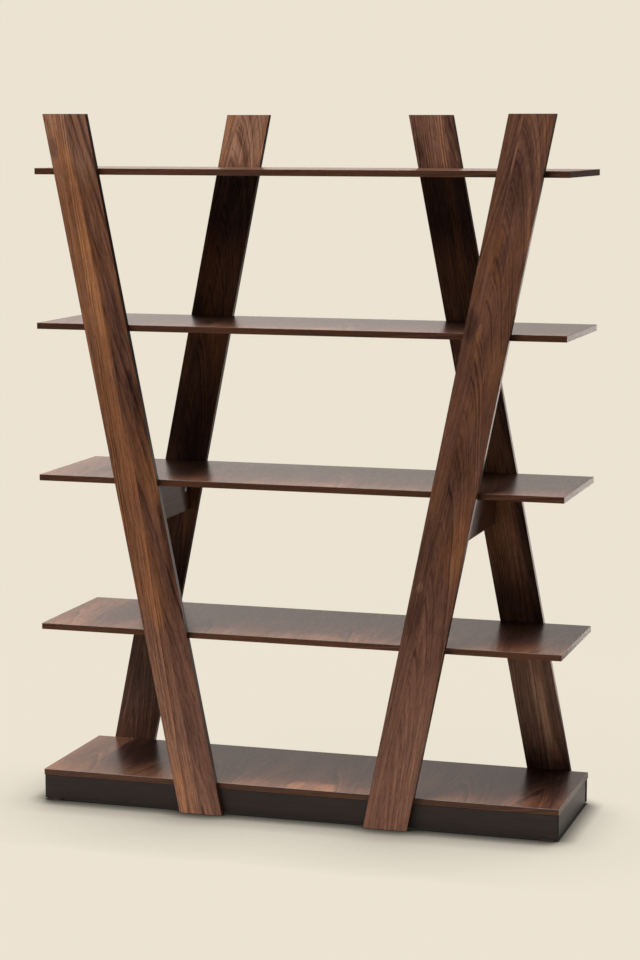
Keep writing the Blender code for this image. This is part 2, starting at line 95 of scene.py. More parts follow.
# Types of node. RANGE takes a value, the two ends that it comes from and the two that it goes to. MIX takes
# a share, and two values in inputs 2 and 3, two points in 4 and 5 or two colours in 6 and 7.
MATH, VECTOR, NOISE = "ShaderNodeMath", "ShaderNodeVectorMath", "ShaderNodeTexNoise"
RAMP, RANGE, MIX = "ShaderNodeValToRGB", "ShaderNodeMapRange", "ShaderNodeMix"
JOIN, SPLIT, PLACE = "ShaderNodeCombineXYZ", "ShaderNodeSeparateXYZ", "ShaderNodeTexCoord"
BLEND, RAYS, CONE = "ShaderNodeMixShader", "ShaderNodeLightPath", "GeometryNodeMeshCone"
SMOOTH = {"interpolation_type": "SMOOTHSTEP"}

Tree, Socket, Material = bpy.types.NodeTree, bpy.types.NodeSocket, bpy.types.Material
Pair, Triple = tuple[float, float], tuple[float, float, float]
Stops = tuple[tuple[float, str], ...]
Frame = Mapping[str, Any]


class Side(Enum):
    """Left or right of the middle, with its sign along X."""

    LEFT = -1
    RIGHT = 1


class Row(Enum):
    """Front or rear row of planks and rails, with its sign along Y."""

    FRONT = -1
    REAR = 1


def label(choice: Enum) -> str:
    """Name of a side or row as the solids spell it."""
    return choice.name.lower()


def linear(hex_colour: str) -> tuple[float, float, float, float]:
    """Turns an sRGB hex colour to linear light.

    Args:
        hex_colour: colour such as "#6e4936".

    Returns:
        Linear red, green and blue, with an alpha of 1.
    """
    channels = [int(hex_colour[i : i + 2], 16) / 255 for i in (1, 3, 5)]
    bent = [c / 12.92 if c <= 0.04045 else ((c + 0.055) / 1.055) ** 2.4 for c in channels]
    return (bent[0], bent[1], bent[2], 1.0)


def add_node(
    tree: Tree,
    kind: str,
    inputs: Mapping[int | str, Any] | tuple[Any, ...] = (),
    stops: Stops = (),
    **settings: Any,
) -> Any:
    """Adds a node with its settings, values and links.

    Args:
        tree: node tree that takes the node.
        kind: Blender's name for the type of node.
        inputs: what each input takes, in order or by socket name or number. It is a value, an output
            socket or a list of output sockets.
        stops: places and hex colours of a colour ramp.
        **settings: properties of the node.

    Returns:
        The new node's output sockets.
    """
    node = tree.nodes.new(kind)
    for name, value in settings.items():
        setattr(node, name, value)
    named = inputs if isinstance(inputs, Mapping) else dict(enumerate(inputs))
    for name, value in named.items():
        for source in value if isinstance(value, list) else [value]:
            if isinstance(source, Socket):
                tree.links.new(source, node.inputs[name])
            else:
                node.inputs[name].default_value = source
    for index, (place, colour) in enumerate(stops):
        elements = node.color_ramp.elements
        stop = elements[index] if index < len(elements) else elements.new(place)
        stop.position, stop.color = place, linear(colour)
    return node.outputs


def weighted(tree: Tree, start: float | Socket, terms: Iterable[tuple[float, Socket]]) -> Socket:
    """Adds sources to a value, each less its middle of a half and times its share.

    Args:
        tree: node tree of the material.
        start: value or socket to start from.
        terms: share and source of each term.

    Returns:
        Socket of the sum.
    """
    total = start
    for share, source in terms:
        offset = add_node(tree, MATH, (source, 0.5), operation="SUBTRACT")[0]
        total = add_node(tree, MATH, (offset, share, total), operation="MULTIPLY_ADD")[0]
    return total


def empty_material(name: str) -> tuple[Material, Tree]:
    """Makes a material with an empty node tree.

    Args:
        name: name of the material.

    Returns:
        The material and its node tree.
    """
    material = bpy.data.materials.new(name)
    material.use_nodes = True
    material.node_tree.nodes.clear()
    return material, material.node_tree


def finish_surface(
    tree: Tree,
    colour: Socket,
    roughness: Socket,
    relief: tuple[Socket, float],
    others: Mapping[str, float],
) -> None:
    """Adds the relief, the surface and the output that every finish ends in.

    Args:
        tree: node tree of the material.
        colour: colour of the surface.
        roughness: roughness of the surface.
        relief: height of its pores or grit, about 0 to 1, and how much of their depth shows.
        others: other inputs of the surface, by name.
    """
    height, strength = relief
    pores = {"Height": height, "Strength": strength, "Distance": PORE_DEPTH}
    bump = add_node(tree, "ShaderNodeBump", pores)[0]
    inputs = {"Base Color": colour, "Roughness": roughness, "Normal": bump, **others}
    shader = add_node(tree, "ShaderNodeBsdfPrincipled", inputs)[0]
    add_node(tree, "ShaderNodeOutputMaterial", {"Surface": shader})


def dress(node_name: str, frame: Frame, material: Material) -> None:
    """Puts a finish on a CAD node's own object.

    Args:
        node_name: name of the node.
        frame: loaded frame.
        material: finish for all its slots.
    """
    piece = frame["nodes"][node_name]
    for slot in piece.material_slots:
        slot.material = material
    LOG.info("%s wears %s", node_name, material.name)


@dataclass(frozen=True)
class BoardLie:
    """How a board lies: its middle, and the directions that measure across, through and along its grain.

    A point's three measures are its offset from the middle, dotted with each direction. The face that
    shows the marks of the figure lies on the shown side of the middle, measured through the board.
    """

    middle: Triple
    across: Triple
    through: Triple
    along: Triple
    half: Triple
    shown: int = 1

    def measures(self, tree: Tree) -> list[Socket]:
        """Adds nodes that read a point's place in the board.

        Args:
            tree: node tree of the material.

        Returns:
            Sockets of the distances across, through and along, in metres.
        """
        place = add_node(tree, PLACE)["Object"]
        offset = add_node(tree, VECTOR, (place, self.middle), operation="SUBTRACT")[0]
        return [
            add_node(tree, VECTOR, (offset, way), operation="DOT_PRODUCT")["Value"]
            for way in (self.across, self.through, self.along)
        ]


def shelf_lie(name: str) -> BoardLie:
    """Lie of a shelf, whose grain runs from front to back.

    Args:
        name: name of the shelf's node.

    Returns:
        Lie that measures across the grain along X.
    """
    middle = (0.0, 0.0, SHELF_LEVELS[name] - BOARD_THICKNESS / 2)
    half = (SHELF_WIDTH / 2, BOARD_THICKNESS / 2, SHELF_DEPTH / 2)
    return BoardLie(middle, (1, 0, 0), (0, 0, 1), (0, 1, 0), half)


def plank_ends(row: Row) -> Pair:
    """Distances from the middle at which a row's planks stand at the floor and end at the top."""
    return (PLANK_INNER_X, PLANK_OUTER_X) if row is Row.FRONT else (PLANK_OUTER_X, PLANK_INNER_X)


def plank_lie(side: Side, row: Row) -> BoardLie:
    """Lie of a canted plank, whose grain follows its slant.

    Args:
        side: left or right plank.
        row: front or rear plank.

    Returns:
        Lie that is sheared with the slant, so that the grain runs parallel to the long edges.
    """
    low, high = plank_ends(row)
    slant = side.value * (high - low) / HEIGHT
    middle_y = row.value * (PLANK_FACE_Y + PLANK_THICKNESS / 2)
    middle = (side.value * (low + high) / 2, middle_y, HEIGHT / 2)
    half = (PLANK_WIDTH / 2, PLANK_THICKNESS / 2, HEIGHT / 2)
    return BoardLie(middle, (1, 0, -slant), (0, 1, 0), (0, 0, 1), half, shown=-1)


def stretcher_lie(side: Side) -> BoardLie:
    """Lie of a side stretcher, whose grain runs from front to back.

    Args:
        side: left or right stretcher.

    Returns:
        Lie that measures across the grain upwards.
    """
    middle = (side.value * STRETCHER_X, 0.0, STRETCHER_MID_Z)
    half = (STRETCHER_HEIGHT / 2, BOARD_THICKNESS / 2, SHELF_DEPTH / 2)
    return BoardLie(middle, (0, 0, 1), (1, 0, 0), (0, 1, 0), half)


def rail_lie(half_length: float, lengthwise: Triple, middle: Triple) -> BoardLie:
    """Lie of a plinth rail, whose grain runs along it.

    Args:
        half_length: half the length of the rail.
        lengthwise: its long direction, along X or Y.
        middle: middle of the rail.

    Returns:
        Lie that measures across the grain upwards.
    """
    through = (lengthwise[1], lengthwise[0], 0.0)
    half = (RAIL_HEIGHT / 2, BOARD_THICKNESS / 2, half_length)
    return BoardLie(middle, (0, 0, 1), through, lengthwise, half)


@dataclass(frozen=True)
class Mark:
    """Patch or streak that differs from the wood round it, in millimetres from the board's middle.

    It shows on the face that its board's lie calls shown, and its rim is soft over the share fade. Some
    marks are the decor's own figure, and others are light and shade painted on the board.
    """

    across: float
    along: float
    half_width: float
    half_length: float
    lift: float = 0.0
    warmth: float = 0.0
    fade: float = 1.0


@dataclass(frozen=True)
class Flitch:
    """The stretch of veneer that one board shows, in millimetres.

    The growth lines are arches that close at the heart, a line along the board. On the heart's far side
    they lean off from the grain and bow back to it, and on its near side they are squeezed together. The
    lean grows along the board by lean_rise. A wide board is laid from leaves that mirror each other. The
    strips on the narrow edges are as light as strip_tone says.
    """

    seed: float
    heart: float = -20.0
    lean: float = 0.36
    lean_rise: float = 0.0
    squeeze: float = 4.0
    bow: float = 14.0
    waviness: float = 1.0
    leaf: float = 0.0
    strip_tone: float = 0.19
    contrast: float = 1.0
    texture: float = 1.0
    lightness: float = 0.0
    warmth: float = 0.0
    marks: tuple[Mark, ...] = ()

    @property
    def tone(self) -> float:
        """Tone that the figure varies round."""
        return WALNUT_TONE + self.lightness


@dataclass(frozen=True)
class WalnutFoil:
    """Walnut decor on chipboard, pressed on and sealed satin.

    Real boards of this kind are chipboard with a walnut veneer or printed foil under a satin coat, and a
    strip of the same decor is ironed on each narrow edge. The eye sees leaning arches and straight lines
    of late wood, purple brown patches beside orange ones, short pores, and a soft sheen that turns grey
    where a surface is seen from low down. Bores show the raw chips, and the dowels are beech. The foil's
    roughness falls from its first value in the pores to its second on the fibres.
    """

    lie: BoardLie
    flitch: Flitch
    roughness: Pair = (0.33, 0.25)
    raw_roughness: float = 0.8
    refraction: float = 1.3
    pore_strength: float = 0.12
    chip_mm: float = 3.125
    band_mm: float = 24.0
    line_mm: float = 7.0
    wander_depth: float = 0.026
    ripple_depth: float = 0.008
    jitter_depth: float = 0.012
    heart_rounding: float = 6 * MILLIMETRE
    orange_wood: Stops = (
        (0.0, "#21110a"),
        (0.25, "#452a1a"),
        (0.5, "#67422c"),
        (0.75, "#8a5b3d"),
        (1.0, "#b37f57"),
    )
    purple_wood: Stops = (
        (0.0, "#1f110d"),
        (0.25, "#412920"),
        (0.5, "#604134"),
        (0.75, "#835e4b"),
        (1.0, "#ab8269"),
    )
    raw_chips: Stops = ((0.0, "#8a6a48"), (0.5, "#b08f66"), (1.0, "#d0b58c"))
    beech: Stops = ((0.3, "#c79b6d"), (0.55, "#dcb98c"), (0.8, "#e6c9a0"))

    def make(self, name: str) -> Material:
        """Builds the material.

        Args:
            name: name of the material.

        Returns:
            Material that draws the board from its Object coordinates.
        """
        material, tree = empty_material(name)
        outside, core, narrow, point = self.turn_to_edges(tree, self.lie.measures(tree))
        tone, warmth, relief = self.figure(tree, point)
        strip_start = self.flitch.strip_tone - STRIP_CONTRAST * self.flitch.tone
        strip = add_node(tree, MATH, (tone, STRIP_CONTRAST, strip_start), operation="MULTIPLY_ADD")[0]
        tone = add_node(tree, MIX, {0: narrow, 2: tone, 3: strip})[0]
        orange, purple = (
            add_node(tree, RAMP, {"Fac": tone}, stops=stops)["Color"]
            for stops in (self.orange_wood, self.purple_wood)
        )
        decor = add_node(tree, MIX, {0: warmth, 6: purple, 7: orange}, data_type="RGBA")[2]
        colour = self.lay_on_core(tree, point, decor, core, outside)
        sheen = add_node(tree, RANGE, (relief, 0.0, 1.0, *self.roughness))[0]
        raw = add_node(tree, MATH, (core, outside), operation="MAXIMUM")[0]
        roughness = add_node(tree, MIX, {0: raw, 2: sheen, 3: self.raw_roughness})[0]
        finish_surface(tree, colour, roughness, (relief, self.pore_strength), {"IOR": self.refraction})
        return material

    def turn_to_edges(self, tree: Tree, measures: Sequence[Socket]) -> tuple[Socket, ...]:
        """Turns the grain on the narrow edges, where a strip of the decor runs lengthwise.

        Args:
            tree: node tree of the material.
            measures: distances across, through and along the board.

        Returns:
            Sockets that are 1 on a dowel outside the board, in its core and on a narrow edge, and the
            point in the decor.
        """
        beyond = []
        for measure, half in zip(measures, self.lie.half):
            size = add_node(tree, MATH, (measure,), operation="ABSOLUTE")[0]
            beyond.append(add_node(tree, MATH, (size, half), operation="SUBTRACT")[0])
        most = add_node(tree, MATH, (beyond[0], beyond[1]), operation="MAXIMUM")[0]
        most = add_node(tree, MATH, (most, beyond[2]), operation="MAXIMUM")[0]
        outside = add_node(tree, MATH, (most, DOWEL_START), operation="GREATER_THAN")[0]
        core = add_node(tree, MATH, (most, -FOIL_DEPTH), operation="LESS_THAN")[0]
        across, through, along = measures
        shifted = add_node(tree, MATH, (through, STRIP_SHIFT), operation="ADD")[0]
        face = add_node(tree, JOIN, (across, through, along))[0]
        side = add_node(tree, JOIN, (shifted, across, along))[0]
        end = add_node(tree, JOIN, (shifted, along, across))[0]
        on_side, on_end = (
            add_node(tree, MATH, (distance, -STRIP_DEPTH), operation="GREATER_THAN")[0]
            for distance in (beyond[0], beyond[2])
        )
        point = add_node(tree, MIX, {0: on_side, 4: face, 5: side}, data_type="VECTOR")[1]
        point = add_node(tree, MIX, {0: on_end, 4: point, 5: end}, data_type="VECTOR")[1]
        narrow = add_node(tree, MATH, (on_side, on_end), operation="MAXIMUM")[0]
        return outside, core, narrow, point

    def noise(
        self, tree: Tree, point: Socket, spacing: Pair, detail: float, shift: float = 0.0
    ) -> Socket:
        """Adds a noise that is stretched along the grain.

        Args:
            tree: node tree of the material.
            point: point in the decor, in metres.
            spacing: size of its grains across and along the grain, in millimetres.
            detail: number of finer octaves.
            shift: place in the noise, added to the flitch's seed.

        Returns:
            Socket of the noise, from 0 to 1 with a middle of 0.5.
        """
        across, along = (1 / (size * MILLIMETRE) for size in spacing)
        stretched = add_node(tree, VECTOR, (point, (across, across, along)), operation="MULTIPLY")[0]
        settings = {"Vector": stretched, "W": self.flitch.seed + shift, "Scale": 1.0, "Detail": detail}
        return add_node(tree, NOISE, settings, noise_dimensions="4D")[0]

    def figure(self, tree: Tree, point: Socket) -> tuple[Socket, Socket, Socket]:
        """Draws the growth lines, streaks, pores and marks.

        The pores of walnut are about 0.2 mm wide. They are drawn 2 mm wide, and the fibres nearly 3 mm,
        so that a picture of the whole bookshelf shows them.

        Args:
            tree: node tree of the material.
            point: point in the decor, in metres.

        Returns:
            Sockets of the tone, the warmth and the relief, each about 0 to 1.
        """
        growth = self.growth(tree, point)
        spacings = ((self.band_mm, 3.0), (self.line_mm, 2.0))
        settings = (
            {"W": growth, "Scale": 1 / (size * MILLIMETRE), "Detail": detail} for size, detail in spacings
        )
        bands, lines = (add_node(tree, NOISE, inputs, noise_dimensions="1D")[0] for inputs in settings)
        veins = add_node(tree, RANGE, (lines, 0.50, 0.36), **SMOOTH)[0]
        presence = self.noise(tree, point, (34, 150), 1.0, 57.0)
        presence = add_node(tree, RANGE, (presence, 0.30, 0.56))[0]
        veins = add_node(tree, MATH, (veins, presence), operation="MULTIPLY")[0]
        broad = self.noise(tree, point, (60, 420), 1.0, 67.0)
        streaks = self.noise(tree, point, (7, 240), 3.0, 71.0)
        fibres = self.noise(tree, point, (2.8, 42), 2.0, 83.0)
        pores = self.noise(tree, point, (2.0, 12), 1.0, 97.0)
        pores = add_node(tree, RANGE, (pores, 0.5, 0.7), **SMOOTH)[0]

        contrast, texture = self.flitch.contrast, self.flitch.texture
        wide = ((0.30, broad), (0.40, bands))
        fine = ((0.25, lines), (0.44, streaks), (0.46, fibres), (-0.18, veins), (-0.12, pores))
        terms = [(share * contrast, source) for share, source in wide]
        terms += [(share * texture, source) for share, source in fine]
        tone = weighted(tree, self.flitch.tone, terms)
        tint = self.noise(tree, point, (26, 110), 2.0, 109.0)
        tints = ((2.2, tint), (-0.3, veins), (0.8, bands))
        warmth = weighted(tree, WALNUT_WARMTH + self.flitch.warmth, tints)
        tone, warmth = self.add_marks(tree, point, tone, warmth)
        warmth = add_node(tree, MATH, (warmth, 0.0), operation="ADD", use_clamp=True)[0]
        pore_sink = -0.7
        relief = add_node(tree, MATH, (pores, pore_sink, fibres), operation="MULTIPLY_ADD")[0]
        return tone, warmth, relief

    def growth(self, tree: Tree, point: Socket) -> Socket:
        """Adds the field whose level lines are the growth lines.

        Args:
            tree: node tree of the material.
            point: point in the decor, in metres.

        Returns:
            Socket of the distance through the growth lines, in metres.
        """
        flitch = self.flitch
        across, _, along = add_node(tree, SPLIT, (point,))
        if flitch.leaf:
            leaf = flitch.leaf * MILLIMETRE
            across = add_node(tree, MATH, (across, leaf), operation="PINGPONG")[0]
        wander = self.noise(tree, point, (80, 240), 1.0, 11.0)
        ripple = self.noise(tree, point, (24, 90), 1.0, 23.0)
        offset = add_node(tree, MATH, (across, flitch.heart * MILLIMETRE), operation="SUBTRACT")[0]
        waves = flitch.waviness
        swings = ((self.wander_depth * waves, wander), (self.ripple_depth * waves, ripple))
        offset = weighted(tree, offset, swings)
        near = add_node(tree, MATH, (offset, -flitch.squeeze), operation="MULTIPLY")[0]
        bend = add_node(tree, MATH, (offset, flitch.bow, 0.5), operation="MULTIPLY_ADD")[0]
        far = add_node(tree, MATH, (offset, bend), operation="MULTIPLY")[0]
        arms = add_node(tree, MATH, (far, near, self.heart_rounding), operation="SMOOTH_MAX")[0]
        rise = (along, flitch.lean_rise / 2, flitch.lean)
        lean = add_node(tree, MATH, rise, operation="MULTIPLY_ADD")[0]
        growth = add_node(tree, MATH, (along, lean, arms), operation="MULTIPLY_ADD")[0]
        jitter = self.noise(tree, point, (12, 50), 1.0, 51.0)
        return weighted(tree, growth, ((self.jitter_depth * waves, jitter),))

    def add_marks(self, tree: Tree, point: Socket, tone: Socket, warmth: Socket) -> tuple[Socket, Socket]:
        """Adds the flitch's patches and streaks, and the bands of light and shade that some flitches have
        painted on.

        Args:
            tree: node tree of the material.
            point: point in the decor, in metres.
            tone: tone of the wood without them.
            warmth: warmth of the wood without them.

        Returns:
            Sockets of the tone and the warmth with the marks.
        """
        rim = self.noise(tree, point, (14, 60), 2.0, 131.0)
        rim_wobble = 1.2
        # Marks show only on the face that the lie calls shown, so the painted light and shade on the rear
        # planks' fronts stays off their backs.
        _, through, _ = add_node(tree, SPLIT, (point,))
        steep = (through, self.lie.shown * SWITCH_SLOPE)
        facing = add_node(tree, MATH, steep, operation="MULTIPLY", use_clamp=True)[0]
        for mark in self.flitch.marks:
            middle = (mark.across * MILLIMETRE, 0, mark.along * MILLIMETRE)
            offset = add_node(tree, VECTOR, (point, middle), operation="SUBTRACT")[0]
            reach = (1 / (mark.half_width * MILLIMETRE), 0, 1 / (mark.half_length * MILLIMETRE))
            offset = add_node(tree, VECTOR, (offset, reach), operation="MULTIPLY")[0]
            far = add_node(tree, VECTOR, (offset,), operation="LENGTH")["Value"]
            far = weighted(tree, far, ((rim_wobble * mark.fade, rim),))
            ends = (1 + mark.fade / 2, 1 - mark.fade / 2)
            share = add_node(tree, RANGE, (far, *ends), **SMOOTH)[0]
            share = add_node(tree, MATH, (share, facing), operation="MULTIPLY")[0]
            tone, warmth = (
                add_node(tree, MATH, (share, change, start), operation="MULTIPLY_ADD")[0]
                for change, start in ((mark.lift, tone), (mark.warmth, warmth))
            )
        return tone, warmth

    def lay_on_core(
        self, tree: Tree, point: Socket, decor: Socket, core: Socket, outside: Socket
    ) -> Socket:
        """Shows raw chips where a bore opens the board, and pale beech with flecks on its dowels.

        Args:
            tree: node tree of the material.
            point: point in the decor, in metres.
            decor: colour of the foil.
            core: 1 in the board's core.
            outside: 1 on a dowel outside the board.

        Returns:
            Socket of the whole board's colour.
        """
        cells = {"Vector": point, "Scale": 1 / (self.chip_mm * MILLIMETRE), "Randomness": 1.0}
        chips = add_node(tree, "ShaderNodeTexVoronoi", cells)["Color"]
        chips = add_node(tree, RAMP, {"Fac": chips}, stops=self.raw_chips)["Color"]
        with_core = add_node(tree, MIX, {0: core, 6: decor, 7: chips}, data_type="RGBA")[2]
        flecks = self.noise(tree, point, (1.2, 1.2), 2.0, 5.0)
        beech = add_node(tree, RAMP, {"Fac": flecks}, stops=self.beech)["Color"]
        return add_node(tree, MIX, {0: outside, 6: with_core, 7: beech}, data_type="RGBA")[2]


@dataclass(frozen=True)
class PlinthFoil:
    """Near-black brown melamine on the plinth rails, pressed with a fine pore.

    Melamine foil is even in colour and satin, so the eye sees a dark face with a faint long grain and a
    soft grey sheen. The rails' narrow edges are drawn near black, darker still, so that their ends and the
    joint under the base panel show as dark lines. The pores are a tenth of a millimetre wide and are drawn
    near 1 mm wide, so that they show.
    """

    lie: BoardLie
    seed: float
    refraction: float = 1.41
    tones: Stops = ((0.3, "#19110f"), (0.5, "#1d1412"), (0.75, "#231916"))
    edge_tone: str = "#070505"
    roughness: Pair = (0.36, 0.5)
    edge_roughness: float = 0.85
    pore_strength: float = 0.2

    def make(self, name: str) -> Material:
        """Builds the material.

        Args:
            name: name of the material.

        Returns:
            Dark board with raw chips in its bores.
        """
        material, tree = empty_material(name)
        board = WalnutFoil(self.lie, Flitch(self.seed))
        outside, core, narrow, point = board.turn_to_edges(tree, self.lie.measures(tree))
        grain = board.noise(tree, point, (3.0, 90), 3.0)
        foil = add_node(tree, RAMP, {"Fac": grain}, stops=self.tones)["Color"]
        ends = {0: narrow, 6: foil, 7: linear(self.edge_tone)}
        foil = add_node(tree, MIX, ends, data_type="RGBA")[2]
        colour = board.lay_on_core(tree, point, foil, core, outside)
        pores = board.noise(tree, point, (0.9, 9), 2.0, 3.0)
        roughness = add_node(tree, RANGE, (pores, 0.0, 1.0, *self.roughness))[0]
        roughness = add_node(tree, MIX, {0: narrow, 2: roughness, 3: self.edge_roughness})[0]
        finish_surface(tree, colour, roughness, (pores, self.pore_strength), {"IOR": self.refraction})
        return material


@dataclass(frozen=True)
class MouldedPolyethylene:
    """Dark brown polyethylene of the glides, injection moulded.

    The mould is lightly textured, so the pads look soft and waxy, with a broad dull sheen and scuffs.
    """

    grit_mm: float = 0.6
    scuffs_per_metre: float = 120.0
    tones: Stops = ((0.35, "#231b17"), (0.55, "#2c231e"), (0.8, "#3b302a"))
    roughness: Pair = (0.42, 0.62)
    refraction: float = 1.51
    grit_strength: float = 0.3

    def make(self, name: str) -> Material:
        """Builds the material.

        Args:
            name: name of the material.

        Returns:
            Waxy dark plastic.
        """
        material, tree = empty_material(name)
        place = add_node(tree, PLACE)["Object"]
        grit, scuffs = (
            add_node(tree, NOISE, {"Vector": place, "Scale": scale, "Detail": detail})[0]
            for scale, detail in ((1 / (self.grit_mm * MILLIMETRE), 2.0), (self.scuffs_per_metre, 3.0))
        )
        colour = add_node(tree, RAMP, {"Fac": scuffs}, stops=self.tones)["Color"]
        roughness = add_node(tree, RANGE, (scuffs, 0.0, 1.0, *self.roughness))[0]
        finish_surface(tree, colour, roughness, (grit, self.grit_strength), {"IOR": self.refraction})
        return material


@dataclass(frozen=True)
class PlatedMetal:
    """Bare or plated metal of the small fittings.

    Zinc die castings are tumbled, so they look silvery and slightly mottled. Plated steel is drawn and
    barrel plated, so it is brighter, with a faint yellow or blue cast that drifts over the piece.
    """

    pale: str
    dark: str
    mottle_mm: float
    roughness: Pair
    grit_mm: float = 0.4
    grit_strength: float = 0.15

    def make(self, name: str) -> Material:
        """Builds the material.

        Args:
            name: name of the material.

        Returns:
            Metal with a mottled plating.
        """
        material, tree = empty_material(name)
        place = add_node(tree, PLACE)["Object"]
        mottle, grit = (
            add_node(tree, NOISE, {"Vector": place, "Scale": 1 / (size * MILLIMETRE), "Detail": detail})[0]
            for size, detail in ((self.mottle_mm, 3.0), (self.grit_mm, 1.0))
        )
        stops = ((0.3, self.dark), (0.65, self.pale))
        colour = add_node(tree, RAMP, {"Fac": mottle}, stops=stops)["Color"]
        low, high = self.roughness
        roughness = add_node(tree, RANGE, (mottle, 0.0, 1.0, high, low))[0]
        finish_surface(tree, colour, roughness, (grit, self.grit_strength), {"Metallic": 1.0})
        return material


def group_input(tree: Tree, name: str, kind: str, value: Any = None) -> str:
    """Adds a named input to a Geometry Nodes tree.

    Args:
        tree: Geometry Nodes tree.
        name: name that a user of the tree sees.
        kind: type of socket.
        value: value to start from, where it has one.

    Returns:
        Identifier of the socket, by which a modifier sets it.
    """
    socket = tree.interface.new_socket(name, in_out="INPUT", socket_type=kind)
    if value is not None:
        socket.default_value = value
    return socket.identifier


@dataclass
class TurnedFastener:
    """Head and shank that stand on a group of points, all pointing one way.

    Its Geometry Nodes tree turns the fastener from two cones and a rod, cuts a crossed recess into the
    head, and puts one on each vertex of the mesh that the modifier is on.
    """

    name: str
    head_radius: float
    head_height: float
    shank_radius: float
    length: float
    recess: float
    places: list[Vector]
    direction: Vector
    sides: int = 24
    arm_share: float = 0.26
    sockets: dict[str, str] = field(default_factory=dict)

    def tree(self, material: Material) -> Tree:
        """Builds the Geometry Nodes tree.

        Args:
            material: finish of the fasteners.

        Returns:
            Tree with an input for every size.
        """
        tree = bpy.data.node_groups.new(self.name, "GeometryNodeTree")
        group_input(tree, "Geometry", "NodeSocketGeometry")
        sizes = {
            "Head Radius": self.head_radius,
            "Head Height": self.head_height,
            "Shank Radius": self.shank_radius,
            "Length": self.length,
            "Recess": self.recess,
        }
        for name, value in sizes.items():
            self.sockets[name] = group_input(tree, name, "NodeSocketFloat", value)
        self.sockets["Direction"] = group_input(tree, "Direction", "NodeSocketVector", self.direction)
        tree.interface.new_socket("Geometry", in_out="OUTPUT", socket_type="NodeSocketGeometry")
        given = add_node(tree, "NodeGroupInput")
        recess, length = given["Recess"], given["Length"]
        head_height, shank_radius = given["Head Height"], given["Shank Radius"]

        radii = {"Radius Top": shank_radius, "Radius Bottom": given["Head Radius"]}
        head = add_node(tree, CONE, {"Vertices": self.sides, **radii, "Depth": head_height})["Mesh"]
        rod = {"Vertices": self.sides // 2, "Radius": shank_radius, "Depth": length}
        shank = add_node(tree, "GeometryNodeMeshCylinder", rod)["Mesh"]
        half = add_node(tree, MATH, (length, 0.5), operation="MULTIPLY")[0]
        lift = add_node(tree, JOIN, {2: half})[0]
        shank = add_node(tree, "GeometryNodeTransform", {"Geometry": shank, "Translation": lift})[0]
        radii = {"Radius Top": 0.0, "Radius Bottom": shank_radius}
        tip = add_node(tree, CONE, {"Vertices": self.sides // 2, **radii, "Depth": shank_radius})["Mesh"]
        lift = add_node(tree, JOIN, {2: length})[0]
        tip = add_node(tree, "GeometryNodeTransform", {"Geometry": tip, "Translation": lift})[0]

        arms = []
        narrow = add_node(tree, MATH, (recess, self.arm_share), operation="MULTIPLY")[0]
        for across, along in ((recess, narrow), (narrow, recess)):
            size = add_node(tree, JOIN, (across, along, head_height))[0]
            arms.append(add_node(tree, "GeometryNodeMeshCube", {"Size": size})["Mesh"])
        cut = {"Mesh 1": head, "Mesh 2": arms}
        head = add_node(tree, "GeometryNodeMeshBoolean", cut, operation="DIFFERENCE")["Mesh"]
        whole = add_node(tree, "GeometryNodeJoinGeometry", ([head, shank, tip],))[0]

        aim = {"Vector": given["Direction"]}
        turn = add_node(tree, "FunctionNodeAlignRotationToVector", aim, axis="Z")[0]
        spots = add_node(tree, "GeometryNodeMeshToPoints", {"Mesh": given["Geometry"]})[0]
        spread = {"Points": spots, "Instance": whole, "Rotation": turn}
        copies = add_node(tree, "GeometryNodeInstanceOnPoints", spread)[0]
        real = add_node(tree, "GeometryNodeRealizeInstances", {"Geometry": copies})[0]
        dressed = add_node(tree, "GeometryNodeSetMaterial", {"Geometry": real, "Material": material})[0]
        add_node(tree, "NodeGroupOutput", (dressed,))
        return tree

    def build(self, material: Material) -> bpy.types.Object:
        """Makes the fasteners as one plain mesh.

        Args:
            material: finish of the fasteners.

        Returns:
            Object at the origin that rides on the root body.
        """
        points = bpy.data.meshes.new(f"{self.name}_points")
        points.from_pydata([tuple(place) for place in self.places], [], [])
        piece = bpy.data.objects.new(self.name, points)
        bpy.context.scene.collection.objects.link(piece)
        step = piece.modifiers.new("fasteners", "NODES")
        step.node_group = self.tree(material)
        for name, socket in self.sockets.items():
            value = getattr(self, name.lower().replace(" ", "_"))
            step[socket] = tuple(value) if name == "Direction" else value
        graph = bpy.context.evaluated_depsgraph_get()
        mesh = bpy.data.meshes.new_from_object(piece.evaluated_get(graph), depsgraph=graph)
        piece.modifiers.remove(step)
        piece.data = mesh
        mesh.name = self.name
        bpy.data.meshes.remove(points)
        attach(piece, "root")
        LOG.info("%s: %d faces", self.name, len(mesh.polygons))
        return piece


# The marks of the shelves: a strip of painted light along the front, lighter patches in front, painted
# shade over the back, and a paler, warmer band along the left end.
FRONT_PATCHES_AND_PAINTED_LIGHT = (
    # Painted light: a lit strip along the front edge.
    Mark(0, -205, 900, 54, 0.10),
    # Painted shade over the back of the shelf, darker and cooler.
    Mark(0, 60, 4000, 165, -0.10, -0.3, 0.5),
    Mark(40, -180, 75, 60, 0.15, 0.2, 0.6),
    Mark(-120, -190, 60, 40, 0.06, 0.2, 0.6),
    Mark(240, -190, 80, 40, 0.06, 0.2, 0.6),
)
SHELF_PATCHES_AND_PAINTED_LIGHT = (Mark(-700, 0, 112, 4000, 0.20, 0.2, 0.05), *FRONT_PATCHES_AND_PAINTED_LIGHT)
BASE_PATCHES_AND_PAINTED_LIGHT = (
    *SHELF_PATCHES_AND_PAINTED_LIGHT,
    Mark(-5, -165, 22, 42, 0.17, 0.0, 0.6),
    Mark(80, -165, 28, 42, 0.17, 0.0, 0.6),
    # Painted reflections of the rear planks, with their shade: dark patches at the back left and right of
    # the base.
    Mark(-500, 70, 75, 130, -0.24, -0.1),
    Mark(600, 60, 60, 120, -0.14),
)


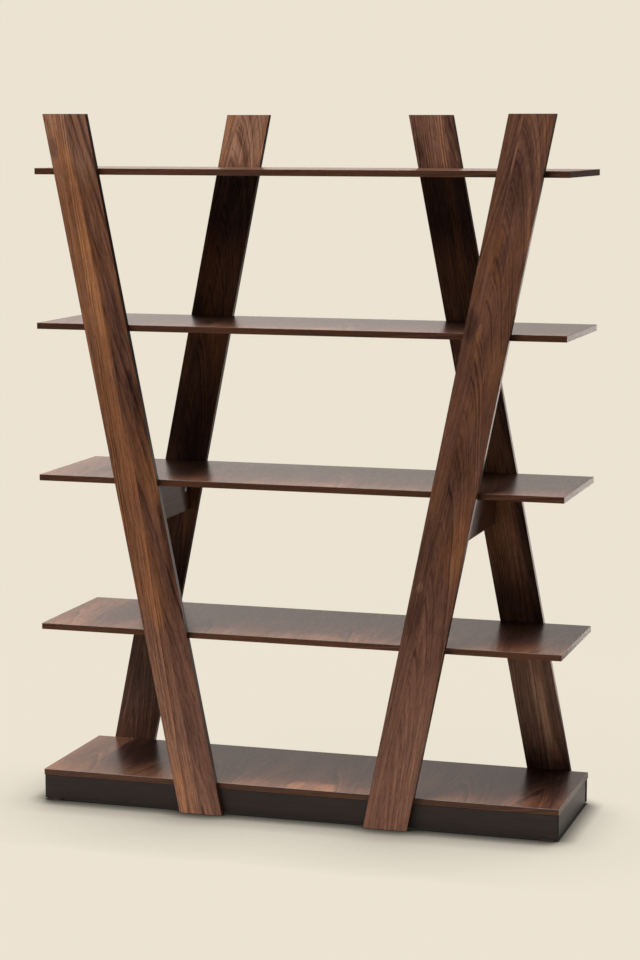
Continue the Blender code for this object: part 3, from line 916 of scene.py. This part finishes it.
@dataclass
class Shelving:
    """The base panel and the four shelves above it."""

    # The shelves under another shelf are drawn darker than the planks, as painted shade over their tops;
    # the top shelf keeps the plain tone.
    plain: Flitch = Flitch(0.0, contrast=1.7, texture=0.7, lightness=-0.14, marks=SHELF_PATCHES_AND_PAINTED_LIGHT)

    def flitches(self) -> dict[str, Flitch]:
        """Gives each shelf its stretch of veneer and its painted light and shade.

        Returns:
            Flitches by the names of the shelves' nodes.
        """
        plain = self.plain
        return {
            "base_panel": replace(plain, seed=3.1, heart=60, leaf=170, strip_tone=0.155, marks=BASE_PATCHES_AND_PAINTED_LIGHT),
            "shelf_lower": replace(plain, seed=11.7, heart=90, leaf=190, strip_tone=0.235),
            "shelf_middle": replace(plain, seed=19.3, heart=60, leaf=175),
            "shelf_upper": replace(plain, seed=27.9, heart=80, leaf=185, marks=FRONT_PATCHES_AND_PAINTED_LIGHT),
            "shelf_top": Flitch(35.2, heart=70, leaf=180, strip_tone=0.25, contrast=1.5, texture=0.8),
        }

    def dress(self, frame: Frame) -> None:
        """Gives every shelf its own stretch of walnut decor.

        Args:
            frame: loaded frame.
        """
        for name, flitch in self.flitches().items():
            foil = WalnutFoil(shelf_lie(name), flitch)
            dress(name, frame, foil.make(f"walnut_foil_{name}"))


# The marks of two bolts of veneer, as the visible planks show them. One is straight grained with a paler
# band along its left side and streaks along its right edge. The other has arches that lean off to the
# right of a heart near its left side.
PURPLE_FOOT = Mark(0, -800, 90, 150, -0.03, -0.5)
RIGHT_EDGE_MARKS = (
    Mark(-48, 815, 12, 26, -0.16, -0.6),
    Mark(28, 490, 12, 110, -0.10, -0.4),
    Mark(36, 330, 12, 120, -0.08, -0.3),
    Mark(38, 190, 14, 60, -0.12, -0.5),
    Mark(48, 120, 12, 110, -0.14, -0.1),
    Mark(46, -20, 14, 60, 0.12, 0.6),
    Mark(52, -200, 12, 110, -0.20, 0.1),
    Mark(46, -400, 16, 120, -0.04, -0.2),
    Mark(-30, -560, 60, 200, -0.07, -0.8),
)
BANDED_MARKS = (
    Mark(-60, 0, 63, 4000, 0.11, 0.15, 0.12),
    Mark(60, 0, 56, 4000, -0.02, -0.2, 0.3),
    Mark(0, 860, 90, 120, 0.17, -0.4, 0.8),
    Mark(0, -20, 400, 400, -0.10, 0.0, 0.6),
    Mark(6, 450, 4, 330, -0.12),
    Mark(-10, 560, 13, 260, 0.14, 0.5),
    Mark(-20, 120, 14, 240, 0.06, 0.4),
    Mark(-16, -330, 15, 90, 0.12, 0.5),
    Mark(-14, -700, 12, 110, 0.04),
    PURPLE_FOOT,
    Mark(38, 540, 26, 140, 0.05, 0.2),
    Mark(40, 60, 26, 150, -0.03, 0.5),
    Mark(40, -700, 30, 160, -0.04, -0.6),
    *RIGHT_EDGE_MARKS,
)
ARCHED_MARKS = (
    Mark(-22, 790, 2.4, 130, 0.17, 0.1),
    Mark(10, 800, 50, 160, 0.0, -0.5),
    Mark(2, 740, 26, 90, -0.10, -0.6),
    Mark(0, 560, 14, 40, -0.10, -0.5),
    Mark(-46, 388, 20, 36, -0.17, -0.6),
    Mark(-20, 372, 7, 22, 0.12, 0.3, 0.6),
    Mark(30, 290, 20, 60, 0.08, 0.4),
    Mark(-18, 270, 14, 50, -0.06, -0.3),
    Mark(0, 30, 30, 70, -0.10),
    Mark(-46, -180, 20, 80, -0.13, -0.4),
    Mark(35, -170, 22, 90, 0.10, 0.6),
    Mark(-40, -330, 24, 50, -0.12, -0.6),
    Mark(-38, -268, 9, 12, 0.14, 0.2, 0.6),
    Mark(0, -650, 90, 330, 0.0, -2.0),
)

# The two bolts. Each plank takes its own stretch of one, with a seed of its own.
BANDED = Flitch(0.0, lean=0.09, squeeze=2.0, bow=2.0, waviness=0.45, strip_tone=0.11, marks=BANDED_MARKS)
ARCHED = Flitch(0.0, lean=0.30, lean_rise=0.22, strip_tone=0.11, marks=ARCHED_MARKS)


@dataclass
class CantedPlanks:
    """The four canted planks.

    The front left and the rear right one are straight grained, and the other two have arches. The rear two
    have bands of painted light and shade down their front faces.
    """

    front_right_marks: tuple[Mark, ...] = (
        *ARCHED_MARKS,
        Mark(0, 860, 90, 110, 0.04, 0.0, 0.6),
        Mark(0, 0, 400, 480, -0.11, -0.2, 0.7),
    )
    rear_left_marks_and_painted_light: tuple[Mark, ...] = (
        *ARCHED_MARKS,
        # Full-width bands: lighter at the tip, painted shade just under the top shelf, and painted light
        # and shade in turn down the bays.
        Mark(0, 850, 90, 110, 0.37, 0.0, 0.3),
        Mark(0, 680, 90, 90, -0.24),
        Mark(0, 460, 90, 110, 0.26, 0.2),
        Mark(0, 140, 90, 120, 0.06),
        Mark(0, -500, 90, 450, -0.14, 0.2, 0.6),
    )
    rear_right_marks_and_painted_light: tuple[Mark, ...] = (
        Mark(14, 820, 15, 400, 0.15, 0.4, 0.6),
        Mark(10, -640, 20, 95, 0.17, 0.1),
        Mark(17, -660, 8, 70, 0.10, 0.2),
        Mark(22, -50, 10, 55, 0.16, 0.6),
        Mark(-26, -810, 24, 50, -0.09, -0.2),
        Mark(26, -740, 22, 60, 0.09, 0.3),
        Mark(44, -680, 16, 110, -0.12, -0.2),
        Mark(58, 0, 24, 4000, -0.10, -0.4, 0.3),
        # Full-width bands: a cooler, slightly lighter tip, painted shade just under the top shelf, and
        # painted light and shade in turn down the bays.
        Mark(0, 850, 90, 110, 0.07, -0.6, 0.3),
        Mark(0, 680, 90, 90, -0.24),
        Mark(0, 460, 90, 110, 0.27, 0.2),
        Mark(0, 130, 90, 150, 0.39, 0.1),
        Mark(0, -30, 90, 120, 0.07),
        Mark(0, -300, 90, 130, 0.16),
        Mark(0, -650, 90, 200, 0.17, -0.2),
        PURPLE_FOOT,
        *RIGHT_EDGE_MARKS,
    )

    def flitches(self) -> dict[tuple[Side, Row], Flitch]:
        """Gives each plank its stretch of veneer, and the rear two their painted light and shade.

        Returns:
            Flitches by side and row.
        """
        front_left = replace(BANDED, seed=2.4, heart=4, lightness=0.02, warmth=0.08)
        front_right = replace(
            ARCHED,
            seed=8.8,
            heart=-18,
            waviness=0.6,
            contrast=0.85,
            texture=0.8,
            lightness=0.01,
            marks=self.front_right_marks,
        )
        rear_left = replace(ARCHED, seed=14.6, heart=-24, waviness=0.7, marks=self.rear_left_marks_and_painted_light)
        rear_right = replace(
            BANDED, seed=21.5, heart=32, texture=1.15, lightness=0.04, marks=self.rear_right_marks_and_painted_light
        )
        return {
            (Side.LEFT, Row.FRONT): front_left,
            (Side.RIGHT, Row.FRONT): front_right,
            (Side.LEFT, Row.REAR): rear_left,
            (Side.RIGHT, Row.REAR): rear_right,
        }

    def dress(self, frame: Frame) -> None:
        """Gives every plank its own stretch of walnut decor.

        Args:
            frame: loaded frame.
        """
        for (side, row), flitch in self.flitches().items():
            name = f"{label(row)}_plank_{label(side)}"
            foil = WalnutFoil(plank_lie(side, row), flitch)
            dress(name, frame, foil.make(f"walnut_foil_{name}"))


@dataclass
class SideStretchers:
    """The two boards under the middle shelf."""

    plain: Flitch = Flitch(0.0, lean=0.1, contrast=0.6, texture=0.35)
    refractions: Pair = (1.2, 1.25)

    def dress(self, frame: Frame) -> None:
        """Gives both stretchers walnut decor.

        Args:
            frame: loaded frame.
        """
        flitches = (
            replace(self.plain, seed=41.3, heart=-90, lightness=-0.16),
            replace(self.plain, seed=47.9, heart=80, lightness=-0.14),
        )
        for side, flitch, refraction in zip(Side, flitches, self.refractions):
            name = f"side_stretcher_{label(side)}"
            foil = WalnutFoil(stretcher_lie(side), flitch, refraction=refraction)
            dress(name, frame, foil.make(f"walnut_foil_{name}"))


@dataclass
class Plinth:
    """Four rails, their glides, and the screws and nails that hold them."""

    long_half: float = 0.693
    side_half: float = 0.1787
    side_rail_x: float = 0.6838
    screw_offset: float = 0.030
    screw_depth: float = 0.15 * MILLIMETRE
    screw_head_radius: float = 3.8 * MILLIMETRE
    screw_head_height: float = 2.4 * MILLIMETRE
    screw_shank_radius: float = 1.4 * MILLIMETRE
    screw_length: float = 24.5 * MILLIMETRE
    recess_share: float = 1.15
    glide_x: float = 0.6665
    nail_offset: float = 0.011
    nail_level: float = 0.6 * MILLIMETRE
    nail_head_radius: float = 1.7 * MILLIMETRE
    nail_head_height: float = 0.7 * MILLIMETRE
    nail_shank_radius: float = 0.8 * MILLIMETRE
    nail_length: float = 0.6 * MILLIMETRE
    nail_recess: float = 0.9 * MILLIMETRE
    rail_seeds: Pair = (50.0, 60.0)
    side_refraction: float = 1.5

    def dress(self, frame: Frame) -> None:
        """Gives the rails their dark foil and the glides their plastic.

        Args:
            frame: loaded frame.
        """
        long_seed, side_seed = self.rail_seeds
        for row in Row:
            lie = rail_lie(self.long_half, (1, 0, 0), (0, row.value * RAIL_Y, RAIL_MID_Z))
            name = f"plinth_{label(row)}_rail"
            dress(name, frame, PlinthFoil(lie, long_seed + row.value).make(f"dark_melamine_{name}"))
        for side in Side:
            lie = rail_lie(self.side_half, (0, 1, 0), (side.value * self.side_rail_x, 0, RAIL_MID_Z))
            name = f"plinth_{label(side)}_rail"
            foil = PlinthFoil(lie, side_seed + side.value, self.side_refraction)
            dress(name, frame, foil.make(f"dark_melamine_{name}"))
        plastic = MouldedPolyethylene().make("moulded_polyethylene")
        for side in Side:
            for row in Row:
                dress(f"glide_{label(row)}_{label(side)}", frame, plastic)

    def screw_places(self, row: Row) -> list[Vector]:
        """Places of the screw heads on the inner face of a long rail.

        Args:
            row: front or rear rail.

        Returns:
            Four points, two for each plank.
        """
        share = RAIL_MID_Z / HEIGHT
        low, high = plank_ends(row)
        middle = low + share * (high - low)
        inner_y = row.value * (RAIL_INNER_Y + self.screw_depth)
        return [
            Vector((side.value * middle + offset, inner_y, RAIL_MID_Z))
            for side in Side
            for offset in (-self.screw_offset, self.screw_offset)
        ]

    def build_fasteners(self, steel: Material) -> None:
        """Makes the countersunk screws and the nails under the glides.

        Args:
            steel: finish of them all.
        """
        for row in Row:
            TurnedFastener(
                name=f"plinth_screws_{label(row)}",
                head_radius=self.screw_head_radius,
                head_height=self.screw_head_height,
                shank_radius=self.screw_shank_radius,
                length=self.screw_length,
                recess=self.screw_head_radius * self.recess_share,
                places=self.screw_places(row),
                direction=Vector((0, row.value, 0)),
            ).build(steel)
        spots = [
            Vector((side.value * self.glide_x + offset, row.value * RAIL_Y, self.nail_level))
            for side in Side
            for row in Row
            for offset in (-self.nail_offset, self.nail_offset)
        ]
        TurnedFastener(
            name="glide_nails",
            head_radius=self.nail_head_radius,
            head_height=self.nail_head_height,
            shank_radius=self.nail_shank_radius,
            length=self.nail_length,
            recess=self.nail_recess,
            places=spots,
            direction=Vector((0, 0, 1)),
        ).build(steel)


@dataclass
class KnockDownFittings:
    """The twenty cam locks and their bolts."""

    cast_zinc: PlatedMetal = PlatedMetal("#f0f0ee", "#d2d2d2", 1.6, (0.4, 0.52))
    plated_steel: PlatedMetal = PlatedMetal("#d2d0c8", "#b1b0ac", 3.0, (0.2, 0.34))

    def dress(self, frame: Frame) -> Material:
        """Gives the locks cast zinc and the bolts plated steel.

        Args:
            frame: loaded frame.

        Returns:
            The plated steel, which the screws and nails share.
        """
        zinc = self.cast_zinc.make("zinc_die_casting")
        steel = self.plated_steel.make("zinc_plated_steel")
        for name in frame["nodes"]:
            if name.startswith("cam_lock_"):
                dress(name, frame, zinc)
            elif name.startswith("cam_bolt_"):
                dress(name, frame, steel)
        return steel


@dataclass(frozen=True)
class Softbox:
    """Flat rectangular lamp that is aimed at a point."""

    name: str
    place: Triple
    aim: Triple
    size: Pair
    watts: float
    colour: str

    def build(self) -> None:
        """Hangs the lamp in the scene."""
        lamp = bpy.data.lights.new(self.name, "AREA")
        lamp.shape = "RECTANGLE"
        lamp.size, lamp.size_y = self.size
        lamp.energy, lamp.color = self.watts, linear(self.colour)[:3]
        hang_lamp(lamp, Vector(self.aim) - Vector(self.place), Vector(self.place))


@dataclass(frozen=True)
class OverheadScrim:
    """Large lit cloth far above, which gives soft light of one strength everywhere."""

    name: str
    towards: Triple
    strength: float
    spread: float

    def build(self) -> None:
        """Hangs the scrim, as a distant lamp whose disc is as wide as the cloth looks."""
        lamp = bpy.data.lights.new(self.name, "SUN")
        lamp.energy, lamp.angle = self.strength, math.radians(self.spread)
        hang_lamp(lamp, -Vector(self.towards), Vector(self.towards) * 5)


def hang_lamp(lamp: bpy.types.Light, direction: Vector, place: Vector) -> bpy.types.Object:
    """Puts a lamp in the scene, out of the camera's sight.

    Args:
        lamp: light data.
        direction: way that the light travels.
        place: where the lamp hangs.

    Returns:
        Object that holds the lamp.
    """
    holder = bpy.data.objects.new(lamp.name, lamp)
    holder.location = place
    holder.rotation_euler = direction.to_track_quat("-Z", "Y").to_euler()
    holder.visible_camera = False
    bpy.context.scene.collection.objects.link(holder)
    return holder


@dataclass
class Studio:
    """Cream paper sweep, a dim room in front of it, and soft lamps.

    The sweep lies behind the bookshelf, so surfaces that face it mirror the cream, and those that face
    the room mirror little. The floor shows the sweep's cream, darkened where the bookshelf covers it.
    Each window gives the two ends, on a ray's direction or a point's place, between which a share fades.
    Each shadow has its reach, its power and the way to the sky that it is measured from.
    """

    cream: str = "#ece3d2"
    mirrored_cream: str = "#eddfd6"
    room_light: Pair = (0.10, 0.45)
    room_mirror: Pair = (0.1, 1.0)
    sweep_window: Pair = (-0.35, 0.65)
    right_mirror: Pair = (1.0, 0.05)
    right_window: Pair = (-0.02, 0.12)
    mirror_by_height: Pair = (1.72, 0.46)
    height_window: Pair = (0.05, 0.30)
    left_mirror: Pair = (1.0, 1.4)
    left_window: Pair = (-0.18, -0.42)
    floor_radius: float = 14.0
    floor_sides: int = 96
    floor_level: float = -0.3 * MILLIMETRE
    lit_floor: Pair = (3.4, 2.0)
    unlit_paper: float = 0.02
    paper_brightness: float = 1.6
    shadows: tuple[tuple[float, float, Triple], ...] = (
        (0.42, 0.80, (0.0, 0.92, 0.39)),
        (0.13, 0.50, (0.0, 0.6, 0.8)),
        (0.055, 2.0, (-0.05, 0.2, 0.98)),
    )
    shadow_rays: int = 12
    covered_floor: float = 0.03
    far_floor_mirror: float = 0.07
    mirrored_reach: Pair = (2.0, 0.9)
    mirrored_depth: Pair = (0.70, 0.30)
    cast_share: float = 0.02
    lamps: tuple[Softbox | OverheadScrim, ...] = (
        OverheadScrim("key_scrim", (-0.308, -0.394, 0.866), 5.2, 32),
        OverheadScrim("back_scrim", (0.5, 0.62, 0.6), 0.6, 50),
        Softbox("left_edge_light", (0.64, 2.5, 0.62), (-0.3, -0.1, 0.75), (0.44, 0.62), 1.55, "#fff0e6"),
        Softbox("right_edge_light", (1.10, 2.0, 0.67), (0.69, 0.0, 0.67), (0.48, 1.32), 5.0, "#fff0e6"),
    )

    def background_ray(self, tree: Tree) -> Socket:
        """Adds nodes that tell which rays show the background.

        Args:
            tree: node tree of the world or the floor.

        Returns:
            Socket that is 1 for camera, glossy and transmission rays.
        """
        path = add_node(tree, RAYS)
        seen = path["Is Camera Ray"]
        for kind in ("Is Glossy Ray", "Is Transmission Ray"):
            seen = add_node(tree, MATH, (seen, path[kind]), operation="MAXIMUM")[0]
        return seen

    def build_world(self) -> None:
        """Makes the cream that is seen and the plain white that lights."""
        world = bpy.data.worlds.new("studio")
        world.use_nodes = True
        tree = world.node_tree
        tree.nodes.clear()
        way = add_node(tree, PLACE)["Generated"]
        rightwards, rearwards, upwards = add_node(tree, SPLIT, (way,))
        light, mirror = (
            add_node(tree, RANGE, (rearwards, *self.sweep_window, *levels), **SMOOTH)[0]
            for levels in (self.room_light, self.room_mirror)
        )
        falls = (
            (rightwards, self.right_window, self.right_mirror, "SMOOTHSTEP"),
            (upwards, self.height_window, self.mirror_by_height, "LINEAR"),
            (rightwards, self.left_window, self.left_mirror, "LINEAR"),
        )
        for source, window, levels, curve in falls:
            share = add_node(tree, RANGE, (source, *window, *levels), interpolation_type=curve)[0]
            mirror = add_node(tree, MATH, (mirror, share), operation="MULTIPLY")[0]
        seen_directly = add_node(tree, RAYS)["Is Camera Ray"]
        mirror = add_node(tree, MIX, {0: seen_directly, 2: mirror, 3: 1.0})[0]
        tints = {0: seen_directly, 6: linear(self.mirrored_cream), 7: linear(self.cream)}
        tint = add_node(tree, MIX, tints, data_type="RGBA")[2]
        seen, lit = (
            add_node(tree, "ShaderNodeBackground", {"Color": colour, "Strength": strength})[0]
            for colour, strength in ((tint, mirror), ((1, 1, 1, 1), light))
        )
        mixed = add_node(tree, BLEND, (self.background_ray(tree), lit, seen))[0]
        add_node(tree, "ShaderNodeOutputWorld", {"Surface": mixed})
        bpy.context.scene.world = world

    def shade(self, tree: Tree, place: Socket) -> Socket:
        """Adds nodes that darken the floor where the bookshelf covers the sky.

        Args:
            tree: node tree of the floor.
            place: point on the floor.

        Returns:
            Socket of the share of light that is left, which stays low under the plinth.
        """
        dim = 1.0
        for reach, power, lean in self.shadows:
            sky = add_node(tree, JOIN, lean)[0]
            inputs = {"Distance": reach, "Normal": sky}
            cover = add_node(tree, "ShaderNodeAmbientOcclusion", inputs, samples=self.shadow_rays)["AO"]
            part = add_node(tree, MATH, (cover, power), operation="POWER")[0]
            dim = add_node(tree, MATH, (part, dim), operation="MULTIPLY")[0]
        outline = (SHELF_WIDTH / 2, RAIL_Y + BOARD_THICKNESS / 2, 0.0)
        beyond = add_node(tree, VECTOR, (place,), operation="ABSOLUTE")[0]
        beyond = add_node(tree, VECTOR, (beyond, outline), operation="SUBTRACT")[0]
        sideways, endways, _ = add_node(tree, SPLIT, (beyond,))
        beyond = add_node(tree, MATH, (sideways, endways), operation="MAXIMUM")[0]
        clear = add_node(tree, MATH, (beyond, 0.0), operation="GREATER_THAN")[0]
        covered = add_node(tree, MATH, (dim, self.covered_floor), operation="MINIMUM")[0]
        return add_node(tree, MIX, {0: clear, 2: covered, 3: dim})[0]

    def floor_mirror(self, tree: Tree, place: Socket, far: Socket) -> Socket:
        """Adds nodes that hide the floor's far parts from the faces that mirror it.

        Args:
            tree: node tree of the floor.
            place: point on the floor.
            far: its distance from the middle.

        Returns:
            Socket of the share that a ray sees, 1 for the camera's own.
        """
        _, rearwards, _ = add_node(tree, SPLIT, (place,))
        mirrored = 1.0
        for source, window in ((far, self.mirrored_reach), (rearwards, self.mirrored_depth)):
            share = add_node(tree, RANGE, (source, *window, self.far_floor_mirror), **SMOOTH)[0]
            mirrored = add_node(tree, MATH, (share, mirrored), operation="MINIMUM")[0]
        seen_directly = add_node(tree, RAYS)["Is Camera Ray"]
        return add_node(tree, MIX, {0: seen_directly, 2: mirrored, 3: 1.0})[0]

    def build_floor(self) -> None:
        """Makes a round floor of matt cream paper that keeps the bookshelf's shadow.

        The paper's own diffuse light is a small share of what the camera sees. The rest is an even glow,
        so that the cream is the same near the bookshelf and far behind it.
        """
        ring = [
            (self.floor_radius * math.cos(turn), self.floor_radius * math.sin(turn), self.floor_level)
            for turn in (2 * math.pi * i / self.floor_sides for i in range(self.floor_sides))
        ]
        mesh = bpy.data.meshes.new("studio_floor")
        mesh.from_pydata(ring, [], [tuple(range(self.floor_sides))])
        floor = bpy.data.objects.new("studio_floor", mesh)
        bpy.context.scene.collection.objects.link(floor)
        material, tree = empty_material("matt_cream_paper")
        cream = linear(self.cream)
        place = add_node(tree, PLACE)["Object"]
        far = add_node(tree, VECTOR, (place,), operation="LENGTH")["Value"]
        near = add_node(tree, RANGE, (far, *self.lit_floor), **SMOOTH)[0]
        dim = self.shade(tree, place)
        mirrored = self.floor_mirror(tree, place, far)
        strength = add_node(tree, MATH, (dim, mirrored), operation="MULTIPLY")[0]
        glow = add_node(tree, "ShaderNodeEmission", {"Color": cream, "Strength": strength})[0]
        unlit = (*[self.unlit_paper] * 3, 1)
        tints = {0: near, 6: unlit, 7: tuple(c / self.paper_brightness for c in cream)}
        tint = add_node(tree, MIX, tints, data_type="RGBA")[2]
        paper = add_node(tree, "ShaderNodeBsdfDiffuse", {"Color": tint})[0]
        cast = add_node(tree, MATH, (near, self.cast_share), operation="MULTIPLY")[0]
        shown = add_node(tree, BLEND, (cast, glow, paper))[0]
        tint = add_node(tree, MIX, {0: near, 6: unlit, 7: cream}, data_type="RGBA")[2]
        bounced = add_node(tree, "ShaderNodeBsdfDiffuse", {"Color": tint})[0]
        mixed = add_node(tree, BLEND, (self.background_ray(tree), bounced, shown))[0]
        add_node(tree, "ShaderNodeOutputMaterial", {"Surface": mixed})
        mesh.materials.append(material)

    def build(self) -> None:
        """Builds the world, the floor and the lamps."""
        self.build_world()
        self.build_floor()
        for lamp in self.lamps:
            lamp.build()


@dataclass(frozen=True)
class PhotoCamera:
    """Camera at the photograph's viewing angle, found from the edges of the boards."""

    azimuth: float = 16.831
    pitch: float = 9.409
    roll: float = 0.092
    target: Triple = (0.010975, 0.0, 0.688128)
    distance: float = 6.53408
    focal_pixels: float = 2499.88
    centre_row: float = 546.05
    sensor_mm: float = 36.0

    def build(self) -> None:
        """Places the camera and makes it the scene's own."""
        az, pi = math.radians(self.azimuth), math.radians(self.pitch)
        forward = Vector((-math.sin(az) * math.cos(pi), math.cos(az) * math.cos(pi), -math.sin(pi)))
        level = Vector((math.cos(az), math.sin(az), 0))
        upright = level.cross(forward)
        turn = math.radians(self.roll)
        right = math.cos(turn) * level + math.sin(turn) * upright
        up = math.cos(turn) * upright - math.sin(turn) * level
        data = bpy.data.cameras.new("photo_camera")
        data.sensor_width = self.sensor_mm
        data.lens = self.focal_pixels / IMAGE_HEIGHT * self.sensor_mm
        data.shift_y = (self.centre_row - IMAGE_HEIGHT / 2) / IMAGE_HEIGHT
        data.clip_start, data.clip_end = 0.1, 100
        camera = bpy.data.objects.new("photo_camera", data)
        camera.matrix_world = Matrix.LocRotScale(
            Vector(self.target) - forward * self.distance,
            Matrix((right, up, -forward)).transposed().to_quaternion(),
            None,
        )
        bpy.context.scene.collection.objects.link(camera)
        bpy.context.scene.camera = camera


def main() -> None:
    """Loads the frame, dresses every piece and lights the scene."""
    logging.basicConfig(level=logging.INFO, format="%(name)s: %(message)s")
    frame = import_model()
    Shelving().dress(frame)
    CantedPlanks().dress(frame)
    SideStretchers().dress(frame)
    steel = KnockDownFittings().dress(frame)
    plinth = Plinth()
    plinth.dress(frame)
    plinth.build_fasteners(steel)
    Studio().build()
    PhotoCamera().build()
    bpy.context.scene.view_settings.view_transform = "Standard"


if __name__ == "__main__":
    main()
